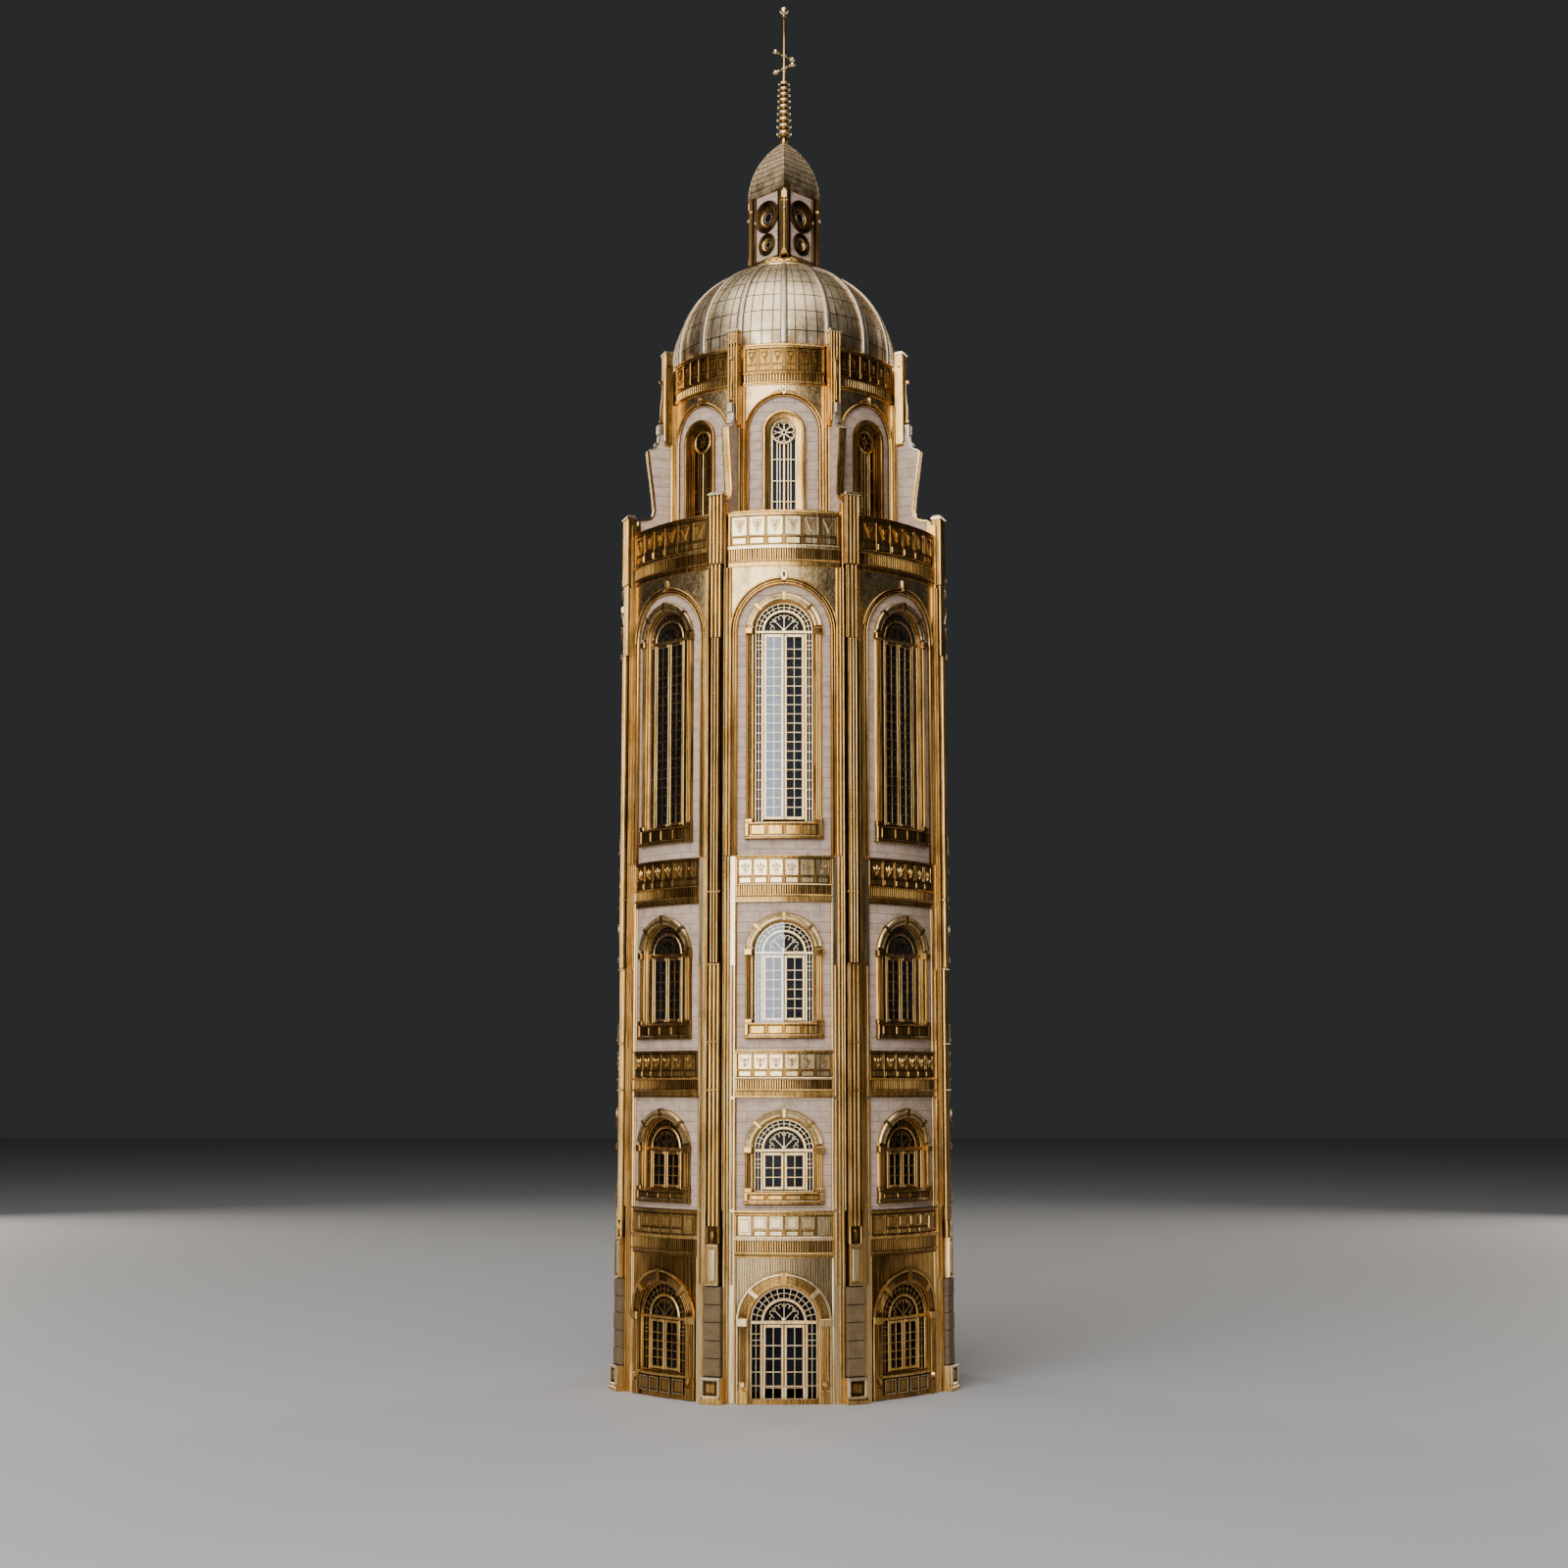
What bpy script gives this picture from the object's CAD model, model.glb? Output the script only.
"""The looks of a tower-form monstrance: a gilt and stone drum with glazed bays under a lift-off domed cover.

Shapes are written in millimetres in the plane of a bay, as (across, height, distance from the axis), and
are laid round the drum by the functions under "where things go". The storeys' levels come from the CAD
nodes' boxes.
"""

import math

import bmesh
import bpy
import numpy as np
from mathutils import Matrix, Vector


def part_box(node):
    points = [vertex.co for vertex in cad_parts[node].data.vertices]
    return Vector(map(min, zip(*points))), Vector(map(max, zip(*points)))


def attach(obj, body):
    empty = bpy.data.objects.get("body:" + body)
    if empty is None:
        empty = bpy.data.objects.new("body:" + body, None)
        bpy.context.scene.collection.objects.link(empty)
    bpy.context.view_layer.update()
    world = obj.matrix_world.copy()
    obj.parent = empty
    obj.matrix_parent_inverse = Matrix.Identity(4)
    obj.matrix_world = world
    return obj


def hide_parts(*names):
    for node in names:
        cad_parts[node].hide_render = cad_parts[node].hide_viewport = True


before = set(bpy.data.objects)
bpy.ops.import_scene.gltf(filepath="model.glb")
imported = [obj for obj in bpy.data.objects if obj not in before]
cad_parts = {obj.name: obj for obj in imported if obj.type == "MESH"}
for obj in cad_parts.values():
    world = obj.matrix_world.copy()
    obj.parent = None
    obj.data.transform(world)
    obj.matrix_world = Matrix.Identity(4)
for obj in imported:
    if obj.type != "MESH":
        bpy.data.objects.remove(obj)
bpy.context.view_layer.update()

MM = 0.001
BAYS = 8
TURN = math.tau / BAYS
FRONT = -math.pi / 2


def levels(node):
    low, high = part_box(node)
    return low.z / MM, high.z / MM


BASE_TOP = levels("base_plate")[1]
GROUND = levels("ground_wall")
GROUND_FRIEZE = levels("ground_frieze")
FIRST = levels("first_wall")
FIRST_FRIEZE = levels("first_frieze")
SECOND = levels("second_wall")
SECOND_FRIEZE = levels("second_frieze")
CHAMBER = levels("chamber_wall")
PARAPET_TOP = levels("lower_entablature")[1]
PIER_TOP = levels("pier_1")[1]
TERRACE = levels("terrace_plate")
UPPER = levels("upper_wall")
UPPER_PARAPET_TOP = levels("upper_entablature")[1]
UPPER_PIER_TOP = levels("upper_pier_1")[1]
LANTERN = levels("lantern_body")
ROOF_TOP = levels("lantern_roof")[1]
SPIRE_TOP = levels("spire_stem")[1]

LOWER_FACE = 93.5  # radius of the lower drum's wall face
UPPER_FACE = 68.6
LINING = 89.4  # outer radius of the lower drum's inner lining
LINING_HALF = LOWER_FACE * TURN / 2
INFILL = 26.0  # half-width of a bay's infill between the piers' strips
BAY_HALF = 30.6  # half-width of the bands that run over the piers
UPPER_INFILL = 19.8
UPPER_BAY_HALF = 23.0
HOOD_RADIUS = 25.6  # of the chamber windows' hoods
TRACERY = 91.0  # distance of the windows' metalwork, at its front
PANES = (87.6, 88.2)  # back and front of the dark panes
GLAZING = 92.65  # distance of the mirroring panes where they meet
LEAN = 0.10  # how fast the glazing leans back from the middle of a window
LEAF = 10.9  # half-width of a pair of leaves
RAIL = 1.6  # height of a leaf's rails
FOOT = 0.05  # where the walls' visible feet stand
PORTAL_FOOT = 8.8  # bottom of the portal's leaves, over a fixed glazed foot
PORTAL_ROWS = [29.7, 23.0, 16.2, 9.2, 2.5]  # heights of the portal's glazing bars
FIN_TOP = 545.5
DOME_SPRING, DOME_RADIUS, DOME_RISE = 590.0, 66.2, 61.7
DOME_SEAMS = (582.6, 592.4, 605.0, 616.0, 626.0, 637.0, 645.6)
DOME_RIB_TOP = 647.6

BRIGHT = ["pale"] + ["gilt"] * (BAYS - 1)  # gilding of the finest work: the front bay is the brightest
DEEP = ["gilt"] + ["antique"] * (BAYS - 1)  # gilding of the casings and of the friezes' mouldings


class Window:
    """A round-headed window: inn and out are the half-widths of its opening and of its casing."""

    def __init__(self, bottom, sill, spring, inn, out, rows):
        self.bottom, self.sill, self.spring = bottom, sill, spring
        self.inn, self.out, self.rows = inn, out, rows


WINDOWS = {
    "ground": Window(BASE_TOP, 13.0, 42.1, 17.8, 24.6, 5),
    "first": Window(102.4, 108.9, 131.2, 15.9, 21.0, 3),
    "second": Window(189.6, 197.9, 235.9, 15.9, 21.0, 6),
    "chamber": Window(296.5, 305.7, 411.5, 15.9, 21.0, 19),
    "upper": Window(TERRACE[1], 486.0, 532.0, 7.0, 12.2, 4),
}


# ---------------------------------------------------------------- where things go
# Each is a function that places points, and the longest straight length that a block or rail may have there.
CURVED_STEP = 3.2  # longest straight length in a shape that follows the drum
WHOLE = 99.0  # longer than any shape, so that a flat shape stays in one length


def on_bay(bay, ref=LOWER_FACE, step=CURVED_STEP):
    """Wraps a bay's plane round the drum, true to size at radius ref."""

    def place(p):
        a = FRONT + bay * TURN + p[:, 0] / ref
        return np.stack([p[:, 2] * np.cos(a), p[:, 2] * np.sin(a), p[:, 1]], 1)

    return place, step


def flat_at(angle):
    """Stands a plane square to the direction of angle."""

    def place(p):
        c, s = math.cos(angle), math.sin(angle)
        return np.stack([p[:, 2] * c - p[:, 0] * s, p[:, 2] * s + p[:, 0] * c, p[:, 1]], 1)

    return place, WHOLE


def flat_bay(bay):
    return flat_at(FRONT + bay * TURN)


def at_pier(i):
    return flat_at(FRONT + (i + 0.5) * TURN)


def same(p):
    return p


AS_IS = (same, WHOLE)  # for points that are given in the frame already


# ---------------------------------------------------------------- outlines and spacing
def polar(centre, radius, angle):
    return centre[0] + radius * math.cos(angle), centre[1] + radius * math.sin(angle)


def circle(centre, radius, count, closed=False):
    loop = [polar(centre, radius, math.tau * j / count) for j in range(count)]
    return loop + loop[:1] if closed else loop


def head(radius, spring, steps):
    """Stations across a round head, and its height at each."""
    arc_points = [polar((0.0, spring), radius, math.pi * i / steps) for i in range(steps + 1)]
    return [u for u, z in arc_points], [z for u, z in arc_points]


def spread(low, high, count):
    """The middles of count equal cells between low and high."""
    return [low + (high - low) * (i + 0.5) / count for i in range(count)]


def on_side(side, a, b):
    """The span from a to b on one side of the middle."""
    return sorted((side * a, side * b))


def drawn_in(outline, share, r):
    """An outline's points at distance r, drawn in towards its middle by a share of their distance from it."""
    cu = sum(u for u, z in outline) / len(outline)
    cz = sum(z for u, z in outline) / len(outline)
    return [(cu + (u - cu) * (1 - share), cz + (z - cz) * (1 - share), r) for u, z in outline]


def petal(u, z, angle, length, width):
    """A pointed leaf's outline that grows from (u, z) in the direction of angle."""
    c, s = math.cos(angle), math.sin(angle)
    half = [(0, 0.12), (0.3, 0.42), (0.58, 0.5), (0.82, 0.3), (1, 0)]
    shape = half + [(a, -b) for a, b in half[-2::-1]]
    return [(u + a * length * c - b * width * s, z + a * length * s + b * width * c) for a, b in shape]


def bar(w, r0, r1, offset=0.0):
    """A small bar's profile, (offset, distance), with a chamfered front."""
    h = w / 2
    right = [(h, r0), (h, r1 - 0.2), (h * 0.6, r1)]
    return [(offset + a, r) for a, r in right] + [(offset - a, r) for a, r in right[::-1]]


def rung(z, back, front, half=0.23):
    """A level glazing bar's profile, (height, distance)."""
    top = [(half, back), (half, front - 0.1), (half * 0.6, front)]
    return [(z + a, r) for a, r in top] + [(z - a, r) for a, r in top[::-1]]


def raised(f, profile):
    """A profile of (offset, relief) as (offset, distance), in front of a face at distance f."""
    return [(a, f + relief) for a, relief in profile]


def reed(centre, width, base, crest, back):
    """A half-round reed's profile."""
    h = width / 2
    angles = [math.pi * i / 6 for i in range(7)]
    front = [(centre - h * math.cos(a), base + (crest - base) * math.sin(a)) for a in angles]
    return [(centre - h, back)] + front + [(centre + h, back)]


# ---------------------------------------------------------------- solids: (points, faces)
def skin(rows, m, closed=False):
    """The faces of a tube through rows of m points each, closed on itself or capped at both ends."""
    faces = []
    for i in range(rows if closed else rows - 1):
        a, b = i * m, (i + 1) % rows * m
        faces += [(a + j, a + (j + 1) % m, b + (j + 1) % m, b + j) for j in range(m)]
    if not closed:
        faces += [tuple(range(m)), tuple((rows - 1) * m + j for j in range(m))]
    return faces


def sweep(path, normals, profile, closed=False):
    """A closed profile of (offset, distance) carried along a path of (across, height)."""
    points = [(p[0] + n[0] * a, p[1] + n[1] * a, r) for p, n in zip(path, normals) for a, r in profile]
    return points, skin(len(path), len(profile), closed)


def along(profile, u0, u1, step):
    """A closed profile of (height, distance) carried across from u0 to u1."""
    n = max(1, math.ceil((u1 - u0) / step))
    path = [(u0 + (u1 - u0) * i / n, 0.0) for i in range(n + 1)]
    return sweep(path, [(0.0, 1.0)] * (n + 1), profile)


def upward(profile, z0, z1):
    """A closed profile of (across, distance) carried up from z0 to z1."""
    return sweep([(0.0, z0), (0.0, z1)], [(1.0, 0.0)] * 2, profile)


def block(u0, u1, z0, z1, r0, r1, bevel, step):
    """A block with chamfered front edges, in lengths of step at most."""
    b = min(bevel, (z1 - z0) / 3, (u1 - u0) / 3, (r1 - r0) / 2)
    n = max(1, math.ceil((u1 - u0) / step))
    us = [u0, u0 + b] + [u0 + (u1 - u0) * i / n for i in range(1, n)] + [u1 - b, u1]
    points = []
    for u in us:
        front = r1 - b if u in (u0, u1) else r1
        points += [(u, z0, r0), (u, z1, r0), (u, z1, r1 - b)]
        points += [(u, z1 - b, front), (u, z0 + b, front), (u, z0, r1 - b)]
    return points, skin(len(us), 6)


def slab(us, low, high, r0, r1):
    """A slab over the stations us. Its low and high edges are each a height, or a list of heights."""
    lows = low if isinstance(low, list) else [low] * len(us)
    highs = high if isinstance(high, list) else [high] * len(us)
    points = []
    for u, a, b in zip(us, lows, highs):
        points += [(u, a, r1), (u, b, r1), (u, b, r0), (u, a, r0)]
    return points, skin(len(us), 4)


def arch(half, foot, spring, profile, steps=28):
    """A profile of (offset, distance) carried up a jamb, over a round head and down again."""
    angles = [math.pi - math.pi * i / steps for i in range(steps + 1)]
    path = [(-half, foot)] + [polar((0.0, spring), half, a) for a in angles] + [(half, foot)]
    normals = [(-1.0, 0.0)] + [(math.cos(a), math.sin(a)) for a in angles] + [(1.0, 0.0)]
    return sweep(path, normals, profile)


def arc(centre, radius, profile, steps=24, a0=0.0, a1=math.pi, closed=False):
    """A profile of (offset, distance) carried round part of a circle."""
    angles = [a0 + (a1 - a0) * i / steps for i in range(steps if closed else steps + 1)]
    path = [polar(centre, radius, a) for a in angles]
    return sweep(path, [(math.cos(a), math.sin(a)) for a in angles], profile, closed)


def ring(centre, radius, profile, steps=24):
    return arc(centre, radius, profile, steps, 0.0, math.tau, True)


def spoke(centre, angle, ra, rb, width, r0, r1, width_out=None):
    """A tapering bar from radius ra to rb about a centre, with a slightly narrower front."""
    c, s = math.cos(angle), math.sin(angle)
    points = []
    for r, k in ((r0, 1.0), (r1, 0.72)):
        for a, wide in ((ra, width), (rb, width_out or width)):
            for t in (-wide / 2 * k, wide / 2 * k):
                points.append((centre[0] + a * c - t * s, centre[1] + a * s + t * c, r))
    return points, [(0, 1, 3, 2), (4, 5, 7, 6), (0, 1, 5, 4), (2, 3, 7, 6), (0, 2, 6, 4), (1, 3, 7, 5)]


def boss(outline, r0, r1, inset):
    """A relief whose front is its outline drawn in towards the middle."""
    return drawn_in(outline, 0.0, r0) + drawn_in(outline, inset, r1), skin(2, len(outline))


def outlined(outline, f, proud, width):
    """A thin raised frame round a closed outline."""
    cu, cz = [sum(values) / len(outline) for values in zip(*outline)]
    share = width / max(math.hypot(u - cu, z - cz) for u, z in outline)
    points = []
    for part, r in ((0.0, f), (0.25, f + proud), (0.75, f + proud), (1.0, f)):
        points += drawn_in(outline, share * part, r)
    return points, skin(4, len(outline), True)


def turned(profile, segments=96):
    """A closed profile of (radius, height) turned about the axis."""
    points = []
    for i in range(segments):
        a = math.tau * i / segments
        points += [(r * math.cos(a), r * math.sin(a), z) for r, z in profile]
    return points, skin(segments, len(profile), True)


def spun(profile, segments):
    """An open profile of (radius, height) from axis to axis, turned into a closed solid."""
    inner = profile[1:-1]
    m = len(inner)
    points, faces = [(0.0, 0.0, profile[0][1]), (0.0, 0.0, profile[-1][1])], []
    for i in range(segments):
        a = math.tau * i / segments
        points += [(r * math.cos(a), r * math.sin(a), z) for r, z in inner]
        p, q = 2 + i * m, 2 + (i + 1) % segments * m
        faces += [(0, p, q), (1, p + m - 1, q + m - 1)]
        faces += [(p + j, p + j + 1, q + j + 1, q + j) for j in range(m - 1)]
    return points, faces


# ---------------------------------------------------------------- pieces
MATERIALS = {}


class Piece:
    """Collects solids into one mesh object that rides on a body and stands for CAD nodes."""

    def __init__(self, name, body, nodes=(), slot="gilt"):
        self.name, self.body, self.nodes, self.slot = name, body, nodes, slot
        self.points, self.uvs, self.faces, self.mats, self.smooth = [], [], [], [], []
        self.names = []
        self.count = 0
        self.at(AS_IS)

    def at(self, where, mat="gilt"):
        """Says where the next solids go, and their material where their own call gives none."""
        self.place, self.step = where
        self.mat = mat
        return self

    def add(self, solid, mat=None, smooth=False):
        points, faces = solid
        mat = mat or self.mat
        local = np.asarray(points, float)
        self.points.append(self.place(local))
        self.uvs.append(local[:, :2])
        if mat not in self.names:
            self.names.append(mat)
        self.faces += [tuple(i + self.count for i in f) for f in faces]
        self.mats += [self.names.index(mat)] * len(faces)
        self.smooth += [smooth] * len(faces)
        self.count += len(local)

    def block(self, u0, u1, z0, z1, r0, r1, bevel, mat=None):
        self.add(block(u0, u1, z0, z1, r0, r1, bevel, self.step), mat)

    def centred(self, half, *rest):
        """A block across the middle. rest is z0, z1, r0, r1, bevel and mat, as in block."""
        self.block(-half, half, *rest)

    def pair(self, a, b, *rest):
        """Two blocks, from a to b on either side of the middle."""
        for side in (-1, 1):
            self.block(*on_side(side, a, b), *rest)

    def rail(self, profile, u0, u1, mat=None):
        self.add(along(profile, u0, u1, self.step), mat)

    def post(self, profile, z0, z1, mat=None):
        self.add(upward(profile, z0, z1), mat)

    def make(self):
        mesh = bpy.data.meshes.new(self.name)
        points = np.concatenate(self.points) * MM
        mesh.from_pydata(points.tolist(), [], self.faces)
        uv = np.concatenate(self.uvs) * MM
        loops = np.zeros(len(mesh.loops), np.int32)
        mesh.loops.foreach_get("vertex_index", loops)
        layer = mesh.uv_layers.new(name="bay")
        layer.data.foreach_set("uv", uv[loops].ravel())
        mesh.polygons.foreach_set("material_index", np.array(self.mats, np.int32))
        mesh.polygons.foreach_set("use_smooth", np.array(self.smooth, bool))
        for name in self.names:
            mesh.materials.append(MATERIALS[name])
        work = bmesh.new()
        work.from_mesh(mesh)
        bmesh.ops.recalc_face_normals(work, faces=work.faces)
        work.to_mesh(mesh)
        work.free()
        piece = bpy.data.objects.new(self.name, mesh)
        bpy.context.scene.collection.objects.link(piece)
        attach(piece, self.body)
        if self.nodes:
            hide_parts(*self.nodes)


# ---------------------------------------------------------------- materials
def node_material(name):
    material = bpy.data.materials.new(name)
    material.use_nodes = True
    tree = material.node_tree
    return material, tree, tree.nodes["Principled BSDF"]


def feed(tree, socket, value):
    """Sets an input to a value, or links it where value is another node's output."""
    if isinstance(value, bpy.types.NodeSocket):
        tree.links.new(value, socket)
    else:
        socket.default_value = value


def add_node(tree, kind, inputs, **settings):
    """Adds a node. inputs gives values or outputs by the name or the number of the input."""
    node = tree.nodes.new(kind)
    for key, value in settings.items():
        setattr(node, key, value)
    for key, value in inputs.items():
        feed(tree, node.inputs[key], value)
    return node


def object_place(tree):
    return add_node(tree, "ShaderNodeTexCoord", {}).outputs["Object"]


def noise(tree, stretch, scale, detail, roughness):
    """Noise in the object's own space, whose scale along each axis is multiplied by stretch."""
    mapping = add_node(tree, "ShaderNodeMapping", {"Scale": stretch, "Vector": object_place(tree)})
    inputs = {"Vector": mapping.outputs["Vector"], "Scale": scale, "Detail": detail, "Roughness": roughness}
    return add_node(tree, "ShaderNodeTexNoise", inputs).outputs["Fac"]


def ramp(tree, factor, stops):
    node = add_node(tree, "ShaderNodeValToRGB", {"Fac": factor})
    elements = node.color_ramp.elements
    while len(elements) < len(stops):
        elements.new(0.5)
    for element, (position, colour) in zip(elements, stops):
        element.position, element.color = position, (*colour, 1.0)
    return node.outputs["Color"]


def mix(tree, factor, a, b):
    """Mixes the colour a, another node's output, with the colour b, three numbers."""
    return add_node(tree, "ShaderNodeMix", {0: factor, 6: a, 7: (*b, 1.0)}, data_type="RGBA").outputs[2]


def span(tree, value, a, b, c, d):
    """Maps value from the range a to b onto the range c to d."""
    inputs = {"Value": value, "From Min": a, "From Max": b, "To Min": c, "To Max": d}
    return add_node(tree, "ShaderNodeMapRange", inputs).outputs["Result"]


def maths(tree, operation, a, b, clamp=False):
    return add_node(tree, "ShaderNodeMath", {0: a, 1: b}, operation=operation, use_clamp=clamp).outputs[0]


def openness(tree, distance):
    """How open the surface is within a distance: low in its hollows."""
    inputs = {"Distance": distance}
    return add_node(tree, "ShaderNodeAmbientOcclusion", inputs, samples=6, only_local=True).outputs["AO"]


def bump(tree, height, strength, distance=0.0002, under=None, invert=False):
    inputs = {"Height": height, "Strength": strength, "Distance": distance}
    if under:
        inputs["Normal"] = under
    return add_node(tree, "ShaderNodeBump", inputs, invert=invert).outputs["Normal"]


def gilding(name, light, deep, patina, worn, rough, streak=(1.0, 1.0, 0.045), grime=1.0, cover=0.5, foot=None,
            coarse=55.0):
    """Brushed gilding with darker streaks, patina that gathers in the recesses and blotches of brown tarnish.

    foot gives two heights between which a layer of tarnish fades out upwards.
    """
    material, tree, shader = node_material(name)
    streaks = noise(tree, streak, 900.0, 5.0, 0.6)
    blotches = noise(tree, (1.0, 1.0, 0.6), coarse, 6.0, 0.65)
    specks = noise(tree, (1.0, 1.0, 1.0), 700.0, 3.0, 0.7)
    tone = ramp(tree, streaks, [(0.32, deep), (0.50, light), (0.72, worn)])
    toned = mix(tree, span(tree, blotches, cover, cover + 0.25, 0.0, 0.7), tone, patina)
    if foot:
        height = add_node(tree, "ShaderNodeSeparateXYZ", {"Vector": object_place(tree)}).outputs["Z"]
        spots = span(tree, blotches, 0.36, 0.60, 0.1, 1.0)
        stain = maths(tree, "MULTIPLY", span(tree, height, *foot, 1.0, 0.0), spots, True)
        toned = mix(tree, stain, toned, patina)
    shade = span(tree, openness(tree, 0.0026), 0.35, 0.85, grime, 0.0)
    hollow = maths(tree, "MULTIPLY", shade, span(tree, specks, 0.25, 0.6, 0.6, 1.0))
    feed(tree, shader.inputs["Base Color"], mix(tree, hollow, toned, patina))
    brushed = span(tree, streaks, 0.25, 0.8, rough - 0.08, rough + 0.10)
    roughness = maths(tree, "ADD", brushed, span(tree, hollow, 0.0, 1.0, 0.0, 0.12), True)
    feed(tree, shader.inputs["Roughness"], roughness)
    shader.inputs["Metallic"].default_value = 1.0
    brush_marks = bump(tree, streaks, 0.07)
    feed(tree, shader.inputs["Normal"], bump(tree, blotches, 0.12, 0.00025, brush_marks))
    return material


def masonry(name, pale, mid, joint, row, width, lines):
    """Cloudy blocks in courses with faint joints."""
    material, tree, shader = node_material(name)
    inputs = {
        "Vector": add_node(tree, "ShaderNodeUVMap", {}, uv_map="bay").outputs["UV"],
        "Color1": (0.92, 0.92, 0.92, 1),
        "Color2": (0.72, 0.72, 0.72, 1),
        "Mortar": (0.0, 0.0, 0.0, 1),
        "Scale": 1.0,
        "Mortar Size": 0.00016,
        "Mortar Smooth": 0.6,
        "Brick Width": width * MM,
        "Row Height": row * MM,
    }
    bricks = add_node(tree, "ShaderNodeTexBrick", inputs)
    clouds = noise(tree, (1.0, 1.0, 1.6), 130.0, 7.0, 0.68)
    grain = noise(tree, (1.0, 1.0, 1.0), 1100.0, 3.0, 0.6)
    base = ramp(tree, clouds, [(0.30, mid), (0.58, pale)])
    tinted = mix(tree, span(tree, bricks.outputs["Color"], 0.6, 1.0, 0.28, 0.0), base, mid)
    jointed = mix(tree, span(tree, bricks.outputs["Fac"], 0.0, 1.0, 0.0, lines), tinted, joint)
    colour = mix(tree, span(tree, openness(tree, 0.004), 0.35, 0.9, 0.55, 0.0), jointed, joint)
    feed(tree, shader.inputs["Base Color"], colour)
    shader.inputs["Specular IOR Level"].default_value = 0.3
    feed(tree, shader.inputs["Roughness"], span(tree, grain, 0.2, 0.8, 0.6, 0.85))
    pitted = bump(tree, grain, 0.5)
    feed(tree, shader.inputs["Normal"], bump(tree, bricks.outputs["Fac"], lines, 0.0002, pitted, True))
    return material


def dark_glass(name):
    material, tree, shader = node_material(name)
    smears = noise(tree, (1.0, 1.0, 0.3), 120.0, 3.0, 0.5)
    shades = [(0.35, (0.002, 0.002, 0.003)), (0.75, (0.008, 0.010, 0.014))]
    feed(tree, shader.inputs["Base Color"], ramp(tree, smears, shades))
    feed(tree, shader.inputs["Roughness"], span(tree, smears, 0.3, 0.8, 0.04, 0.14))
    shader.inputs["Specular IOR Level"].default_value = 0.08
    return material


def clear_glass(name):
    """Glazing that mirrors part of what is in front of it and lets the metalwork behind it show."""
    material, tree, shader = node_material(name)
    tree.nodes.remove(shader)
    smears = noise(tree, (1.0, 1.0, 0.3), 90.0, 3.0, 0.5)
    roughness = span(tree, smears, 0.3, 0.8, 0.02, 0.09)
    gloss = add_node(tree, "ShaderNodeBsdfGlossy", {"Color": (0.90, 0.94, 1.0, 1.0), "Roughness": roughness})
    through = add_node(tree, "ShaderNodeBsdfTransparent", {"Color": (0.98, 0.99, 1.0, 1.0)})
    slant = add_node(tree, "ShaderNodeLayerWeight", {"Blend": 0.5}).outputs["Facing"]
    share = span(tree, slant, 0.35, 1.0, 0.05, 0.45)
    both = add_node(tree, "ShaderNodeMixShader", {"Fac": share, 1: through.outputs[0], 2: gloss.outputs[0]})
    feed(tree, tree.nodes["Material Output"].inputs["Surface"], both.outputs["Shader"])
    return material


def wafer(name):
    material, tree, shader = node_material(name)
    grain = noise(tree, (1.0, 1.0, 1.0), 400.0, 5.0, 0.6)
    shades = [(0.3, (0.72, 0.66, 0.54)), (0.7, (0.88, 0.84, 0.75))]
    feed(tree, shader.inputs["Base Color"], ramp(tree, grain, shades))
    feed(tree, shader.inputs["Roughness"], span(tree, grain, 0.2, 0.8, 0.7, 0.9))
    feed(tree, shader.inputs["Normal"], bump(tree, grain, 0.3))
    return material


BROWN = (0.060, 0.030, 0.011)
MATERIALS.update(
    gilt=gilding("gilt", (0.70, 0.40, 0.11), (0.48, 0.235, 0.045), BROWN, (0.82, 0.58, 0.25), 0.27),
    pale=gilding("pale_gilt", (0.86, 0.64, 0.34), (0.70, 0.45, 0.18), BROWN, (0.92, 0.77, 0.49), 0.28,
                 cover=0.60),
    antique=gilding("antique_gilt", (0.34, 0.175, 0.042), (0.16, 0.075, 0.016), (0.020, 0.010, 0.004),
                    (0.54, 0.32, 0.10), 0.30, cover=0.48),
    patina=gilding("blotched_gilt", (0.70, 0.48, 0.21), (0.50, 0.30, 0.11), (0.040, 0.022, 0.009),
                   (0.80, 0.62, 0.34), 0.32, (1.0, 1.0, 0.5), cover=0.47, coarse=120.0),
    dark=gilding("tarnished_gilt", (0.07, 0.036, 0.012), (0.03, 0.015, 0.005), (0.012, 0.006, 0.003),
                 (0.20, 0.115, 0.04), 0.45, cover=0.4),
    roof=gilding("champagne_gilt", (0.84, 0.69, 0.45), (0.72, 0.54, 0.31), (0.22, 0.13, 0.055),
                 (0.88, 0.77, 0.56), 0.40, (0.6, 0.6, 0.25), 0.9, 0.62, (0.583, 0.618), 90.0),
    slate=gilding("roof_gilt", (0.84, 0.66, 0.40), (0.68, 0.49, 0.25), (0.18, 0.10, 0.04),
                  (0.86, 0.72, 0.48), 0.49, (0.6, 0.6, 0.25), 0.5, 0.56, (0.697, 0.716), 130.0),
    cream=gilding("cream_gilt", (0.54, 0.44, 0.315), (0.44, 0.34, 0.22), (0.10, 0.06, 0.03),
                  (0.62, 0.53, 0.40), 0.42, cover=0.68),
    stone=masonry("pinkish_stone", (0.58, 0.425, 0.32), (0.35, 0.25, 0.18), (0.11, 0.07, 0.045), 5.6, 13.0,
                  0.75),
    ashlar=masonry("rusticated_stone", (0.17, 0.11, 0.050), (0.095, 0.058, 0.025), (0.04, 0.023, 0.011), 9.2,
                   60.0, 0.2),
    black=dark_glass("dark_glass"),
    clear=clear_glass("clear_glass"),
    wafer=wafer("host_wafer"),
)


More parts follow.
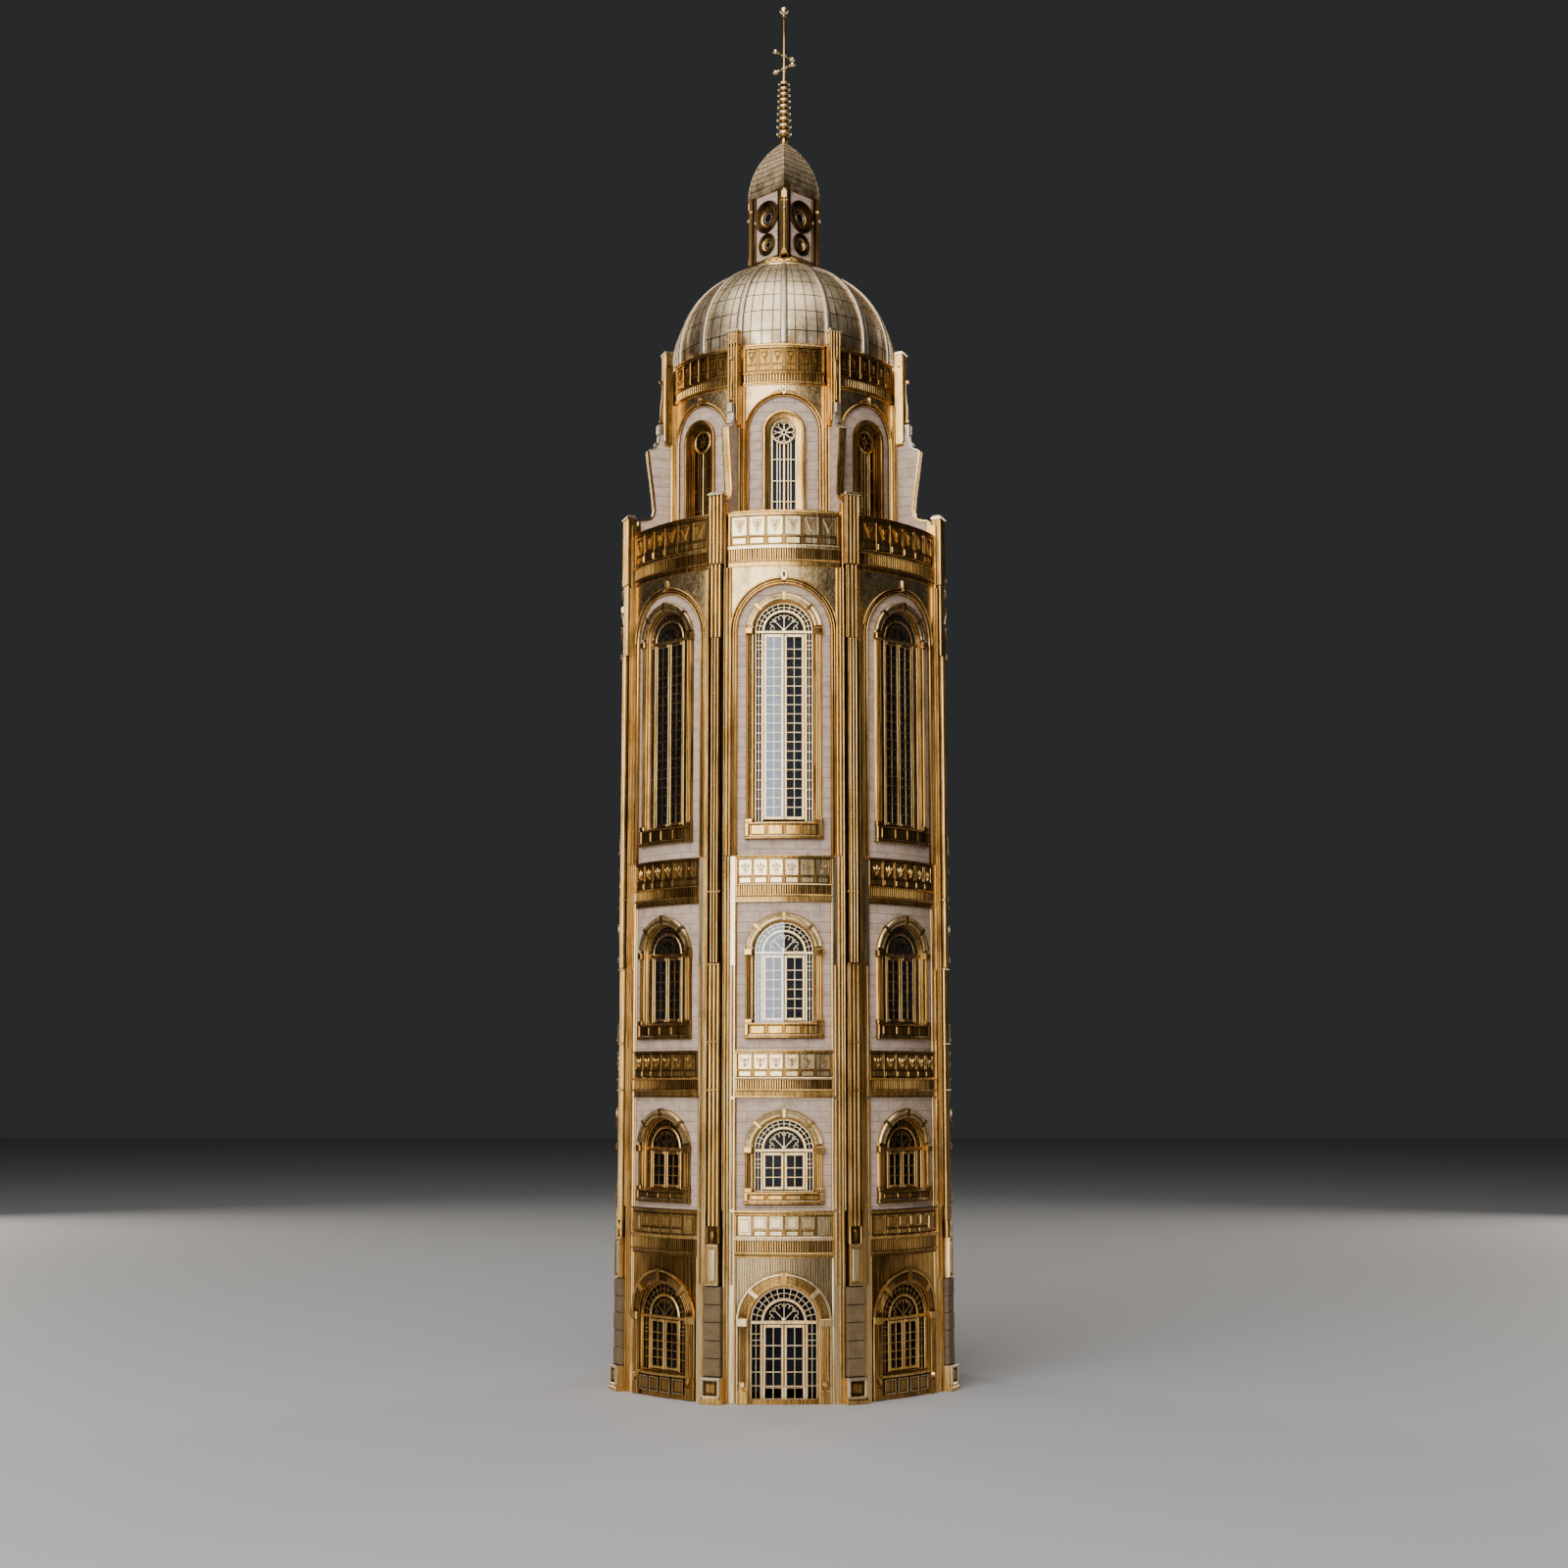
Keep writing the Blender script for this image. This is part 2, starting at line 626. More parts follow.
# ---------------------------------------------------------------- window parts
def leaf(p, side, z0, z1, half, rows, front, foot_rail=RAIL):
    """One glazed leaf: stiles, rails, a middle bar and rows of panes. rows gives the bars' heights."""
    back = front - 1.9
    near, inn, out = 0.25, 1.55, half - 1.4
    low, high = z0 + foot_rail, z1 - RAIL
    stiles = ((near, inn, z0, z1), (out, half, z0, z1))
    rails = ((inn, out, z0, low), (inn, out, high, z1))
    for a, b, bottom, top in stiles + rails:
        p.block(*on_side(side, a, b), bottom, top, back, front, 0.25)
    p.post(bar(0.48, back + 0.4, front - 0.35, side * (inn + out) / 2), low, high)
    for z in rows:
        p.rail(rung(z, back + 0.4, front - 0.3), *on_side(side, inn, out))


def rows_down(low, high, count):
    """The heights of a leaf's glazing bars: the top row is a third taller than the others."""
    unit = (high - low) / (count + 0.3)
    return [high - unit * (i + 1.3) for i in range(count - 1)]


def window_rows(w):
    return rows_down(w.sill + 2.8, w.spring - 3.2, w.rows)


def tracery(p, w, sill, rows, with_leaves):
    """The fixed metalwork of a window in its flat plane."""
    face, back = TRACERY, TRACERY - 2.0
    edge = w.inn - 0.9
    mullion = LEAF + 0.4
    light = mullion + 1.2
    high = w.spring - 1.3
    first = high - rows[0]
    p.add(arch(edge, sill, w.spring, [(0, back), (1.1, back), (1.1, face), (0.2, face), (0, face - 0.3)]))
    p.centred(w.inn, sill, sill + 0.8, back, face, 0.25)
    p.centred(w.inn, high, w.spring + 0.4, back, face + 0.45, 0.35)
    p.pair(mullion, light, sill + 0.8, high, back, face + 0.1, 0.25)
    for side in (-1, 1):
        p.post(bar(0.4, back + 0.5, face - 0.3, (light + edge) / 2 * side), sill + 0.8, high)
        for z in [high - first * 0.46, high - first * 0.75] + rows:
            p.rail(rung(z, back + 0.5, face - 0.35, 0.18), *on_side(side, light, edge))
    centre = (0.0, w.spring)
    rim = [(0, back), (1.6, back), (1.6, face - 0.1), (1.2, face + 0.25), (0.4, face + 0.25), (0, face - 0.1)]
    p.add(arc(centre, LEAF - 0.4, rim))
    inner = LEAF + 1.2
    p.add(arc(centre, (inner + edge) / 2, bar(0.36, back + 0.5, face - 0.35)))
    cells = 14
    for i in range(1, cells):
        p.add(spoke(centre, math.pi * i / cells, inner - 0.1, edge + 0.1, 0.38, back + 0.4, face - 0.25))
    lunette(p, (0.0, w.spring + 0.6), LEAF - 0.6, back, face)
    if with_leaves:
        for side in (-1, 1):
            leaf(p, side, sill + 1.2, w.spring - 1.6, LEAF + 0.35, rows, face - 0.1)


def lunette(p, hub, radius, back, face):
    """Three fan bars that end in pairs of small scrolls, over a half-round hub."""
    wire = bar(0.4, back + 0.5, face - 0.25)
    hub_rim = [(-0.9, back + 0.4), (0.2, back + 0.4), (0.2, face - 0.2), (-0.9, face - 0.1)]
    p.add(arc(hub, 0.9, hub_rim, 8))
    for a in (math.pi / 4, math.pi / 2, 3 * math.pi / 4):
        p.add(spoke(hub, a, 0.8, radius * 0.86, 0.45, back + 0.5, face - 0.2))
        for turn in (-1, 1):
            away = a + turn * 0.25
            start = away - turn * math.pi / 2
            centre = polar(hub, radius * 0.72, away)
            p.add(arc(centre, 1.15, wire, 10, start - turn * 0.6, start + turn * 4.1))
    for a in (0.14, math.pi - 0.14):
        p.add(arc(polar(hub, radius * 0.62, a), 1.1, wire, 10, 0, math.tau * 0.9))


def casing(p, w, f):
    """Jambs with reeds, imposts, an archivolt with keystone and voussoirs, and a panelled sill."""
    width = w.out - w.inn
    body = [(0, -7), (0, -0.9), (0.45, -0.3), (0.45, 0.55), (1.0, 1.0), (width - 0.9, 1.0),
            (width - 0.4, 0.5), (width, 0.1), (width, -3)]
    p.add(arch(w.inn, w.sill - 0.3, w.spring, raised(f, body)))
    reeded = width - 2.3
    for side in (-1, 1):
        for c in spread(w.inn + 1.35, w.inn + 1.35 + reeded, 3):
            profile = reed(side * c, reeded / 3 * 0.82, f + 0.9, f + 1.75, f + 0.5)
            p.post(profile, w.sill + 2.2, w.spring - 2.2)
    p.pair(w.inn + 0.7, w.out + 0.15, w.spring - 2.0, w.spring + 1.7, f, f + 2.9, 0.5)
    p.pair(w.inn + 0.7, w.out + 0.15, w.sill - 0.2, w.sill + 2.2, f, f + 2.3, 0.5)
    centre = (0.0, w.spring)
    lip = [(0.8, 0.8), (0.9, 1.7), (1.5, 1.95), (1.6, 1.5), (width * 0.55, 1.55), (width * 0.58, 2.0),
           (width - 0.7, 2.35), (width - 0.1, 1.6), (width - 0.1, 0.2)]
    p.add(arc(centre, w.inn, raised(f, lip), 26, 0.16, math.pi - 0.16), "patina")
    for a, wide in ((math.pi / 2, 2.9), (math.pi * 0.24, 2.3), (math.pi * 0.76, 2.3)):
        p.add(spoke(centre, a, w.inn + 0.8, w.out + 0.3, wide * 0.65, f, f + 2.45, wide * 0.95))
    low, o = w.bottom, w.out
    p.centred(o + 0.2, low, low + 1.8, f - 2, f + 2.5, 0.5, "antique")
    p.centred(o - 0.3, low + 1.6, w.sill - 0.9, f - 2, f + 1.4, 0.2, "antique")
    p.centred(o + 0.1, w.sill - 1.0, w.sill, f - 7, f + 2.3, 0.35)
    p.centred(o - 2.0, low + 1.7, low + 2.2, f, f + 2.2, 0.15, "pale")
    half = (o - 2.6) / 4 * 0.84
    for u in spread(2.6 - o, o - 2.6, 4):
        p.block(u - half, u + half, low + 2.5, w.sill - 1.3, f + 1, f + 2.0, 0.4)
    p.pair(o - 2.4, o, low + 1.6, w.sill - 0.2, f + 1, f + 2.5, 0.5)


def infill(p, half, low, high, w, f, mat="antique"):
    """A bay's wall face round a round-headed casing."""
    h = w.out - 0.2
    for side in (-1, 1):
        p.add(slab([side * (half - (half - h) * i / 2) for i in range(3)], low, high, f - 4, f), mat)
    us, zs = head(h, w.spring, 16)
    p.add(slab(us, zs, high, f - 4, f), mat)
    if w.bottom > low + 0.1:
        p.add(slab([-h + 2 * h * i / 10 for i in range(11)], low, w.bottom, f - 4, f), mat)


def glazing_sheet(p, w):
    """Two flat panes in front of the metalwork that lean back a little from the middle."""
    radius, low, steps = w.inn - 0.1, w.sill + 0.1, 12
    for side in (-1, 1):
        points = []
        for i in range(steps + 1):
            u = side * radius * math.sin(math.pi / 2 * i / steps)
            r = GLAZING - abs(u) * LEAN
            top = w.spring + math.sqrt(max(0.0, radius**2 - u * u))
            points += [(u, low, r + 0.25), (u, top, r + 0.25), (u, top, r), (u, low, r)]
        p.add((points, skin(steps + 1, 4)))


# ---------------------------------------------------------------- friezes
def box_outline(u, w, low, high):
    return [(u - w, low), (u + w, low), (u + w, high), (u - w, high)]


def v_motif(p, u, z, w, h, f, mat):
    p.add(outlined([(u - w, z + h), (u + w, z + h), (u, z - h)], f, 0.7, 0.8), mat)
    middle = [(u - w * 0.45, z + h * 0.66), (u + w * 0.45, z + h * 0.66), (u, z - h * 0.3)]
    p.add(boss(middle, f, f + 0.45, 0.4), "gilt")


def lotus_motif(p, u, z, w, h, f, mat):
    for a, k in ((0.5, 1.0), (0.36, 0.92), (0.64, 0.92)):
        p.add(boss(petal(u, z - h * 0.9, math.pi * a, 1.8 * h * k, w * 0.5), f, f + 0.5, 0.5), mat)
    low, high = z - h, z - h * 0.55
    cup = [(u - w * 0.3, low), (u + w * 0.3, low), (u + w * 0.2, high), (u - w * 0.2, high)]
    p.add(boss(cup, f, f + 0.6, 0.3), mat)


def heart_motif(p, u, z, w, h, f, mat):
    for lean in (0.63, 0.37):
        p.add(boss(petal(u, z - h * 0.95, math.pi * lean, 1.95 * h, w * 0.6), f, f + 0.55, 0.4), mat)
    p.add(boss(petal(u, z - h * 0.6, math.pi / 2, 1.3 * h, w * 0.5), f + 0.2, f + 0.8, 0.5), "gilt")


def square_motif(p, u, z, w, h, f, mat):
    p.add(boss(box_outline(u, w, z - h, z + h), f, f + 0.55, 0.1), mat)


def frieze(p, half, z, f, motif, panel, flutes=40):
    """A banded frieze. z gives its levels: bottom, lower mould, flutes, upper mould, panels, top.

    Under squares, the outer panels run down over the low row of small blocks.
    """
    z0, z1, z2, z3, z4, z5 = z
    p.centred(half, z0, z5, f - 4, f + 0.95, 0.1, "antique")
    foot = [(z0, 0), (z0, 1.3), (z0 + 0.3, 1.7), (z0 + 0.7, 1.7), (z0 + 0.8, 1.3), (z1 - 1.2, 1.6),
            (z1 - 1.0, 2.2), (z1 - 0.4, 2.4), (z1, 2.1), (z1, 0)]
    shelf = [(z2, 0), (z2, 1.9), (z2 + 0.3, 2.3), (z3 - 0.6, 2.4), (z3 - 0.4, 2.0), (z3, 1.7), (z3, 0)]
    cornice = [(z4, 0), (z4, 1.5), (z4 + 0.2, 1.9), (z4 + 0.5, 1.9), (z4 + 0.6, 1.6), (z5 - 0.6, 1.8),
               (z5 - 0.5, 2.5), (z5, 2.3), (z5, 0)]
    for profile, mat in ((foot, p.mat), (shelf, panel), (cornice, p.mat)):
        p.rail(raised(f, profile), -half, half, mat)
    p.centred(half, z1, z2, f, f + 1.4, 0.02, "dark")
    for u in spread(-half, half, flutes):
        p.post(bar(2 * half / flutes * 0.58, f + 1.2, f + 1.85, u), z1, z2)
    whole_ends = motif is square_motif
    rows = z3 + (z4 - z3) * 0.30
    panels = 6
    side = 1.1
    wide = 2 * (half - side) / panels
    p.centred(half - side - (wide if whole_ends else 0), rows - 0.18, rows + 0.18, f, f + 1.5, 0.12)
    for i in range(panels + 1):
        u = -half + side + wide * i
        p.block(u - 0.22, u + 0.22, z3, z4, f, f + 1.45, 0.12)
    p.pair(half - side, half, z3, z4, f, f + 1.9, 0.2)
    for i, u in enumerate(spread(side - half, half - side, panels)):
        low = z3 if whole_ends and i in (0, panels - 1) else rows
        if low == rows:
            square_motif(p, u, (z3 + rows) / 2, wide * 0.40, (rows - z3) * 0.33, f + 0.85, panel)
        box = box_outline(u, wide * 0.43, low + 0.5, z4 - 0.4)
        p.add(boss(box, f + 0.6, f + 1.25, 0.05), panel)
        p.add(outlined(box, f + 1.2, 0.3, 0.55), panel)
        motif(p, u, (low + z4) / 2, wide * 0.30, (z4 - low) * 0.32, f + 1.25, panel)


def backing(p, inner, outer, low, high):
    """The plain ring behind a frieze."""
    p.at(AS_IS)
    p.add(turned([(inner, low), (outer, low), (outer, high), (inner, high)]), "antique", True)


# ---------------------------------------------------------------- lower drum
def ground_storey():
    p = Piece("ground_arcade", "tower", ["ground_wall", "ground_casings", "portal_frame"])
    w = WINDOWS["ground"]
    for bay in range(BAYS):
        p.at(on_bay(bay), DEEP[bay])
        infill(p, INFILL, FOOT, GROUND[1], w, LOWER_FACE)
        infill(p, LINING_HALF, *GROUND, w, LINING)
        ground_ribs(p, w, LOWER_FACE, "antique" if bay else "pale")
        ground_casing(p, w, LOWER_FACE, BRIGHT[bay])
        p.at(flat_bay(bay), BRIGHT[bay])
        if bay == 0:
            tracery(p, w, FOOT, PORTAL_ROWS, False)
            bottom_light(p)
        else:
            tracery(p, w, w.sill, window_rows(w), True)
            dado(p.at(on_bay(bay)), w, LOWER_FACE)
    p.make()


def ground_ribs(p, w, f, mat):
    """Fine upright ribs over the ground wall, down to the casing's round head."""
    over = w.out + 0.2
    for u in spread(-INFILL, INFILL, 62):
        low = w.spring + math.sqrt(over**2 - u * u) if abs(u) < over else FOOT
        p.post(bar(0.5, f - 0.5, f + 0.6, u), low, GROUND[1], mat)


def ground_casing(p, w, f, bright):
    """A deep reeded casing that stands on the floor, with imposts, plinths, studs, keystone and voussoirs."""
    width = w.out - w.inn
    centre = (0.0, w.spring)
    body = [(0, -7), (0, -0.8), (0.5, -0.2), (0.5, 0.9), (1.2, 1.3), (width - 1.1, 1.3), (width - 0.5, 2.1),
            (width, 1.4), (width, -3)]
    p.add(arch(w.inn, FOOT, w.spring, raised(f, body)))
    reed_width = (width - 2.8) / 4 * 0.8
    for n in spread(1.5, width - 1.3, 4):
        profile = reed(n, reed_width, f + 1.2, f + 1.95, f + 0.8)
        p.add(arc(centre, w.inn, profile, 26, 0.1, math.pi - 0.1), None, True)
        for side in (-1, 1):
            profile = reed(side * (w.inn + n), reed_width, f + 1.2, f + 1.95, f + 0.8)
            p.post(profile, FOOT + 11.5, w.spring - 2.6)
    rim = [(-1.0, 0), (-1.0, 2.0), (-0.6, 2.5), (0.2, 2.5), (0.5, 1.6), (0.5, 0)]
    p.add(arc(centre, w.out, raised(f, rim), 28), bright)
    p.pair(w.inn + 1.0, w.out + 0.4, w.spring - 2.6, w.spring + 1.5, f, f + 2.7, 0.45, bright)
    p.pair(w.out - 0.6, w.out + 0.4, FOOT, w.spring, f, f + 2.3, 0.3, bright)
    p.pair(w.inn + 1.0, w.out + 0.4, FOOT, FOOT + 7.0, f, f + 2.0, 0.4)
    for side in (-1, 1):
        u = side * (w.inn + width / 2)
        stud = [(u + 1.5 * a, FOOT + 10.0 + 2.3 * b) for a, b in circle((0.0, 0.0), 1.0, 8)]
        p.add(boss(stud, f + 0.8, f + 2.9, 0.45), bright)
        p.post(reed(side * (INFILL - 0.2), 1.6, f, f + 1.6, f - 1), FOOT, GROUND[1], bright)
    p.add(spoke(centre, math.pi / 2, w.inn + 1.0, w.out + 0.9, 3.0, f, f + 2.6, 4.4))
    for a in (math.pi * 0.235, math.pi * 0.765):
        p.add(spoke(centre, a, w.inn + 0.9, w.out - 0.4, 3.0, f, f + 2.6, 3.4), bright)


def bottom_light(p):
    """The fixed glazed foot under the portal's leaves."""
    low, top = FOOT + 0.7, PORTAL_FOOT - 0.3
    near, far = 1.5, 9.9
    for a, b in ((0.0, near), (far, LEAF + 0.5)):
        p.pair(a, b, low, top, 89.1, 90.9, 0.25)
    for side in (-1, 1):
        p.post(bar(0.48, 89.4, 90.6, side * (near + far) / 2), low, top)
        for z in (PORTAL_ROWS[-1], top - 0.25):
            p.rail(rung(z, 89.4, 90.7), *on_side(side, near, far))


def dado(p, w, f):
    """The panelled dado under a ground window."""
    p.centred(w.inn + 0.5, FOOT, w.sill - 1.4, f - 6, f - 0.3, 0.2, "antique")
    p.centred(w.inn + 1.5, w.sill - 1.5, w.sill, f - 6, f + 1.6, 0.35)
    for u in spread(-18.0, 18.0, 4):
        box = box_outline(u, 3.8, BASE_TOP + 0.4, w.sill - 2.3)
        p.add(boss(box, f - 0.5, f + 0.5, 0.3), "antique")
        p.add(outlined(box, f - 0.4, 1.5, 1.0), "pale")


def window_storey(name, wall, nodes):
    p = Piece(name, "tower", nodes, "stone")
    w = WINDOWS[name.split("_")[0]]
    f = LOWER_FACE
    for bay in range(BAYS):
        p.at(on_bay(bay), DEEP[bay])
        infill(p, INFILL + 0.6, *wall, w, f, "stone")
        infill(p, LINING_HALF, *wall, w, LINING)
        casing(p, w, f)
        for side in (-1, 1):
            p.post(reed(side * (INFILL - 0.1), 0.9, f, f + 0.9, f - 1), *wall, "gilt")
        tracery(p.at(flat_bay(bay), BRIGHT[bay]), w, w.sill, window_rows(w), True)
    p.make()


def hood(p, radius, foot, spring, f, ribs, width, face, steps, smooth):
    """Ribs that frame the infill over an arch. ribs gives each one's offset, width and relief."""
    for n, wide, proud in ribs:
        p.add(arch(radius, foot, spring, reed(n, wide, f + 0.6, f + proud, f - 2), steps), "gilt", smooth)
    bed = [(0.1, f - 2), (width, f - 2), (width, face), (0.1, face)]
    p.add(arch(radius, foot, spring, bed, steps), "antique")


def shield(p, z, k, f):
    """A keystone shield with a dark middle, at k times its natural size."""
    outline = [(-1.8, 3.2), (1.8, 3.2), (1.9, 0), (1.2, -2.2), (0, -3.0), (-1.2, -2.2), (-1.9, 0)]
    inner = [(-0.6, 2.0), (0.6, 2.0), (0.7, 0), (0, -1.5), (-0.7, 0)]
    p.add(boss([(u * k, z + h * k) for u, h in outline], f, f + 2.5, 0.25), "pale")
    p.add(boss([(u * k, z + h * k) for u, h in inner], f + 2.1, f + 2.65, 0.3), "dark")


def spandrels(p, half, radius, spring, top, f):
    """The blotched gilt field over an arch."""
    us, zs = head(radius, spring, 24)
    p.add(slab(us, zs, top, f - 2, f + 1.2), "patina")
    for side in (-1, 1):
        a, b = on_side(side, radius, half)
        if b - a > 0.05:
            p.add(slab([a, b], spring, top, f - 2, f + 1.2), "patina")


def chamber_storey():
    p = Piece("chamber_arcade", "tower", ["chamber_wall", "chamber_casings", "chamber_frame"], "stone")
    w = WINDOWS["chamber"]
    f = LOWER_FACE
    low, high = CHAMBER
    ribs = ((0.7, 1.3, 1.9), (2.2, 1.1, 1.5), (3.6, 1.2, 2.3))
    for bay in range(BAYS):
        p.at(on_bay(bay), DEEP[bay])
        infill(p, HOOD_RADIUS + 0.5, low, w.spring + HOOD_RADIUS + 1, w, f, "stone")
        infill(p, LINING_HALF, low, high, w, LINING)
        casing(p, w, f)
        hood(p, HOOD_RADIUS, low, w.spring, f, ribs, 4.3, f + 0.9, 36, True)
        spandrels(p, BAY_HALF, HOOD_RADIUS + 3.6, w.spring, high, f)
        shield(p, w.spring + HOOD_RADIUS + 4.7, 1.25, f)
        tracery(p.at(flat_bay(bay), BRIGHT[bay]), w, w.sill, window_rows(w), bay != 0)
    p.make()


def storey_friezes():
    for node, (z0, z5), inner, motif in (
        ("ground_frieze", GROUND_FRIEZE, (2.9, 8.9, 11.2, 22.0), square_motif),
        ("first_frieze", FIRST_FRIEZE, (4.4, 9.4, 10.8, 23.4), heart_motif),
        ("second_frieze", SECOND_FRIEZE, (4.1, 9.1, 9.9, 23.6), lotus_motif),
    ):
        p = Piece(node + "_relief", "tower", [node])
        z = [z0] + [z0 + d for d in inner] + [z5]
        for bay in range(BAYS):
            frieze(p.at(on_bay(bay), DEEP[bay]), INFILL, z, LOWER_FACE, motif, BRIGHT[bay])
        backing(p, 86.8, LINING, z0, z5)
        p.make()


def lower_parapet():
    p = Piece("lower_parapet", "tower", ["lower_entablature"])
    z0 = CHAMBER[1]
    z = (z0, z0 + 3.8, z0 + 9.9, z0 + 12.3, z0 + 28.8, PARAPET_TOP)
    for bay in range(BAYS):
        frieze(p.at(on_bay(bay), DEEP[bay]), BAY_HALF, z, LOWER_FACE, v_motif, BRIGHT[bay], 46)
    backing(p, 88.6, LOWER_FACE, z0 + 0.5, PARAPET_TOP - 0.4)
    p.make()


def pier(i):
    """A pier: stepped strips, a reeded pilaster between slots, ashlar below and a small cap above."""
    p = Piece("pier_%d_moulded" % (i + 1), "tower", ["pier_%d" % (i + 1)])
    f = LOWER_FACE
    low, tall, band, top = FOOT, SECOND_FRIEZE[1], CHAMBER[1], PIER_TOP
    shoulder = 95.3
    p.at(on_bay(i + 0.5, shoulder, 1.8)).pair(7.5, 11.0, low, tall, f - 1.0, shoulder, 0.3, "pale")
    p.at(at_pier(i))
    for a, b, r, z0, z1 in (
        (6.3, 7.9, 95.9, low, tall),
        (4.9, 6.4, 96.7, low, tall),
        (6.6, 8.2, 95.4, tall, band),
        (5.0, 6.7, 96.5, tall, band),
        (4.4, 5.2, 97.3, GROUND_FRIEZE[1], band),
        (4.2, 5.3, 96.6, band, top - 6.0),
    ):
        p.pair(a, b, z0, z1, f - 1.0, r, 0.3)
    joints = (60.0, GROUND_FRIEZE[1], FIRST_FRIEZE[0], SECOND[0] + 46)
    for z0, z1 in zip(joints, joints[1:]):
        p.pair(9.0, 9.9, z0 + 0.8, z1 - 0.8, f, 95.75, 0.2)
    p.centred(4.6, low, band, f - 4.2, 95.0, 0.1, "dark")
    column(p)
    slender, wide = 230.0, 408.0  # where the shaft's middle, more slender length starts and ends
    shaft(p, 91.0, slender, 3, 3.5, 98.9)
    shaft(p, slender, wide, 3, 2.6, 99.5)
    shaft(p, wide, band + 2.0, 3, 3.5, 98.9)
    shaft(p, band + 2.0, top - 2.2, 4, 4.4, 99.4)
    for z in (162.0, 187.5, 229.0, 268.0):
        p.centred(3.6, z, z + 0.8, 95, 99.2, 0.25)
    p.centred(4.7, top - 2.2, top - 1.0, f, 99.7, 0.35, "pale")
    p.centred(4.0, top - 1.1, top - 0.05, f + 0.8, 99.0, 0.5, "cream")
    p.make()


def column(p):
    """The foot of a pier: a framed plinth block, five ashlar courses, a long panel and a niche."""
    back, plinth = 93, 98.5
    p.centred(6.0, FOOT, 13.6, back, 100.4, 0.3)
    p.pair(3.9, 5.6, 2.6, 13.6, plinth, 101.6, 0.45, "pale")
    p.centred(5.6, 2.6, 4.3, plinth, 101.6, 0.45, "pale")
    p.centred(5.7, 12.0, 13.7, plinth, 101.8, 0.45, "cream")
    p.centred(3.7, 4.5, 11.8, plinth, 100.6, 0.2, "dark")
    p.centred(2.6, 5.6, 10.7, plinth, 101.0, 0.4, "antique")
    course = 9.2
    for k in range(5):
        z = 14.0 + course * k
        p.centred(4.9, z + 0.15, z + course - 0.15, back, 99.6 - 0.25 * (k % 2), 0.3, "ashlar")
    p.centred(3.5, 60.2, 82.0, back, 98.9, 0.3)
    p.add(outlined(box_outline(0.0, 3.5, 60.5, 81.8), 98.5, 1.3, 1.1), "pale")
    p.centred(2.1, 62.6, 79.6, 98.5, 99.5, 0.5, "pale")
    p.centred(4.2, 82.2, 91.2, back, 98.0, 0.2, "dark")
    for u in (-3.2, 3.2):
        p.post(reed(u, 1.3, 97.5, 99.2, 95), 82.2, 91.2)
    p.add(boss(petal(0.0, 82.8, math.pi / 2, 7.8, 3.4), 97.8, 99.3, 0.45), "antique")


def shaft(p, z0, z1, reeds, half, proud):
    """A length of reeded pilaster."""
    p.centred(half, z0, z1, 94, proud - 1.1, 0.2, "antique")
    for u in spread(-half, half, reeds):
        p.post(reed(u, 2 * half / reeds * 0.8, proud - 1.2, proud, proud - 2), z0 + 0.3, z1 - 0.3)


def base_mould():
    p = Piece("base_mould", "tower", ["base_plate"])
    profile = [(0, 0), (88.6, 0), (88.6, BASE_TOP - 0.4), (88.2, BASE_TOP), (0, BASE_TOP)]
    p.add(spun(profile, 128), "antique")
    for i in range(BAYS):
        p.at(at_pier(i)).centred(6.3, 0, 2.4, 88, 101.6, 0.4)
    p.make()


def chamber_floor():
    z0, z1 = levels("chamber_floor")
    p = Piece("chamber_floor_disc", "tower", ["chamber_floor"])
    p.add(spun([(0, z0), (88.2, z0), (88.2, z1 - 0.4), (87.8, z1), (60.6, z1), (60, z1 - 0.3), (59.4, z1),
                (0, z1)], 96))
    p.make()


def luna_stand():
    z0, z1 = levels("luna_stand")
    p = Piece("luna_stand_turned", "tower", ["luna_stand"])
    foot = [(0, 0), (22, 0), (22, 1), (20.5, 2), (14, 3.4), (8, 8.5), (4.2, 14), (3.2, 18), (5.6, 20),
            (6.6, 22.5), (5.6, 25), (3.2, 27), (2.8, 38)]
    cup = [(5.5, z1 - 6), (8.6, z1 - 1.5), (8.8, z1), (0, z1)]
    p.add(spun([(r, z0 + z) for r, z in foot] + cup, 48), "pale", True)
    p.make()


def luna():
    """The ring that holds the host, with beads on both faces, and the host."""
    low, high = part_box("luna_rim")
    bottom = low.z / MM
    centre = (0.0, high.z / MM - (high.x - low.x) / MM / 2)
    p = Piece("luna_rim_moulded", "luna", ["luna_rim"]).at(flat_at(FRONT))
    rim = [(-4.6, -3.6), (0, -3.9), (0.2, -2), (0.2, 2), (0, 3.9), (-4.6, 3.6), (-4.6, 1.4), (-5.0, 1.4),
           (-5.0, -1.4), (-4.6, -1.4)]
    p.add(ring(centre, 37.7, rim, 72), "pale")
    for middle in circle(centre, 35.3, 36):
        bead = circle(middle, 1.2, 8)
        p.add(boss(bead, 3.4, 3.95, 0.4), "cream")
        p.add(boss(bead, -3.4, -3.95, 0.4), "cream")
    p.centred(2.8, bottom + 0.1, bottom + 6, -2.8, 2.8, 0.4)
    p.make()
    p = Piece("host_disc", "luna", ["luna_host"], "host").at(flat_at(FRONT))
    disc = [(-15.9, -1.1), (16.4, -1.1), (16.4, 1.1), (15.6, 1.1), (15.2, 0.8), (13.2, 0.8), (12.8, 1.1),
            (-15.9, 1.1)]
    p.add(ring(centre, 16.0, disc, 72), "wafer")
    p.make()


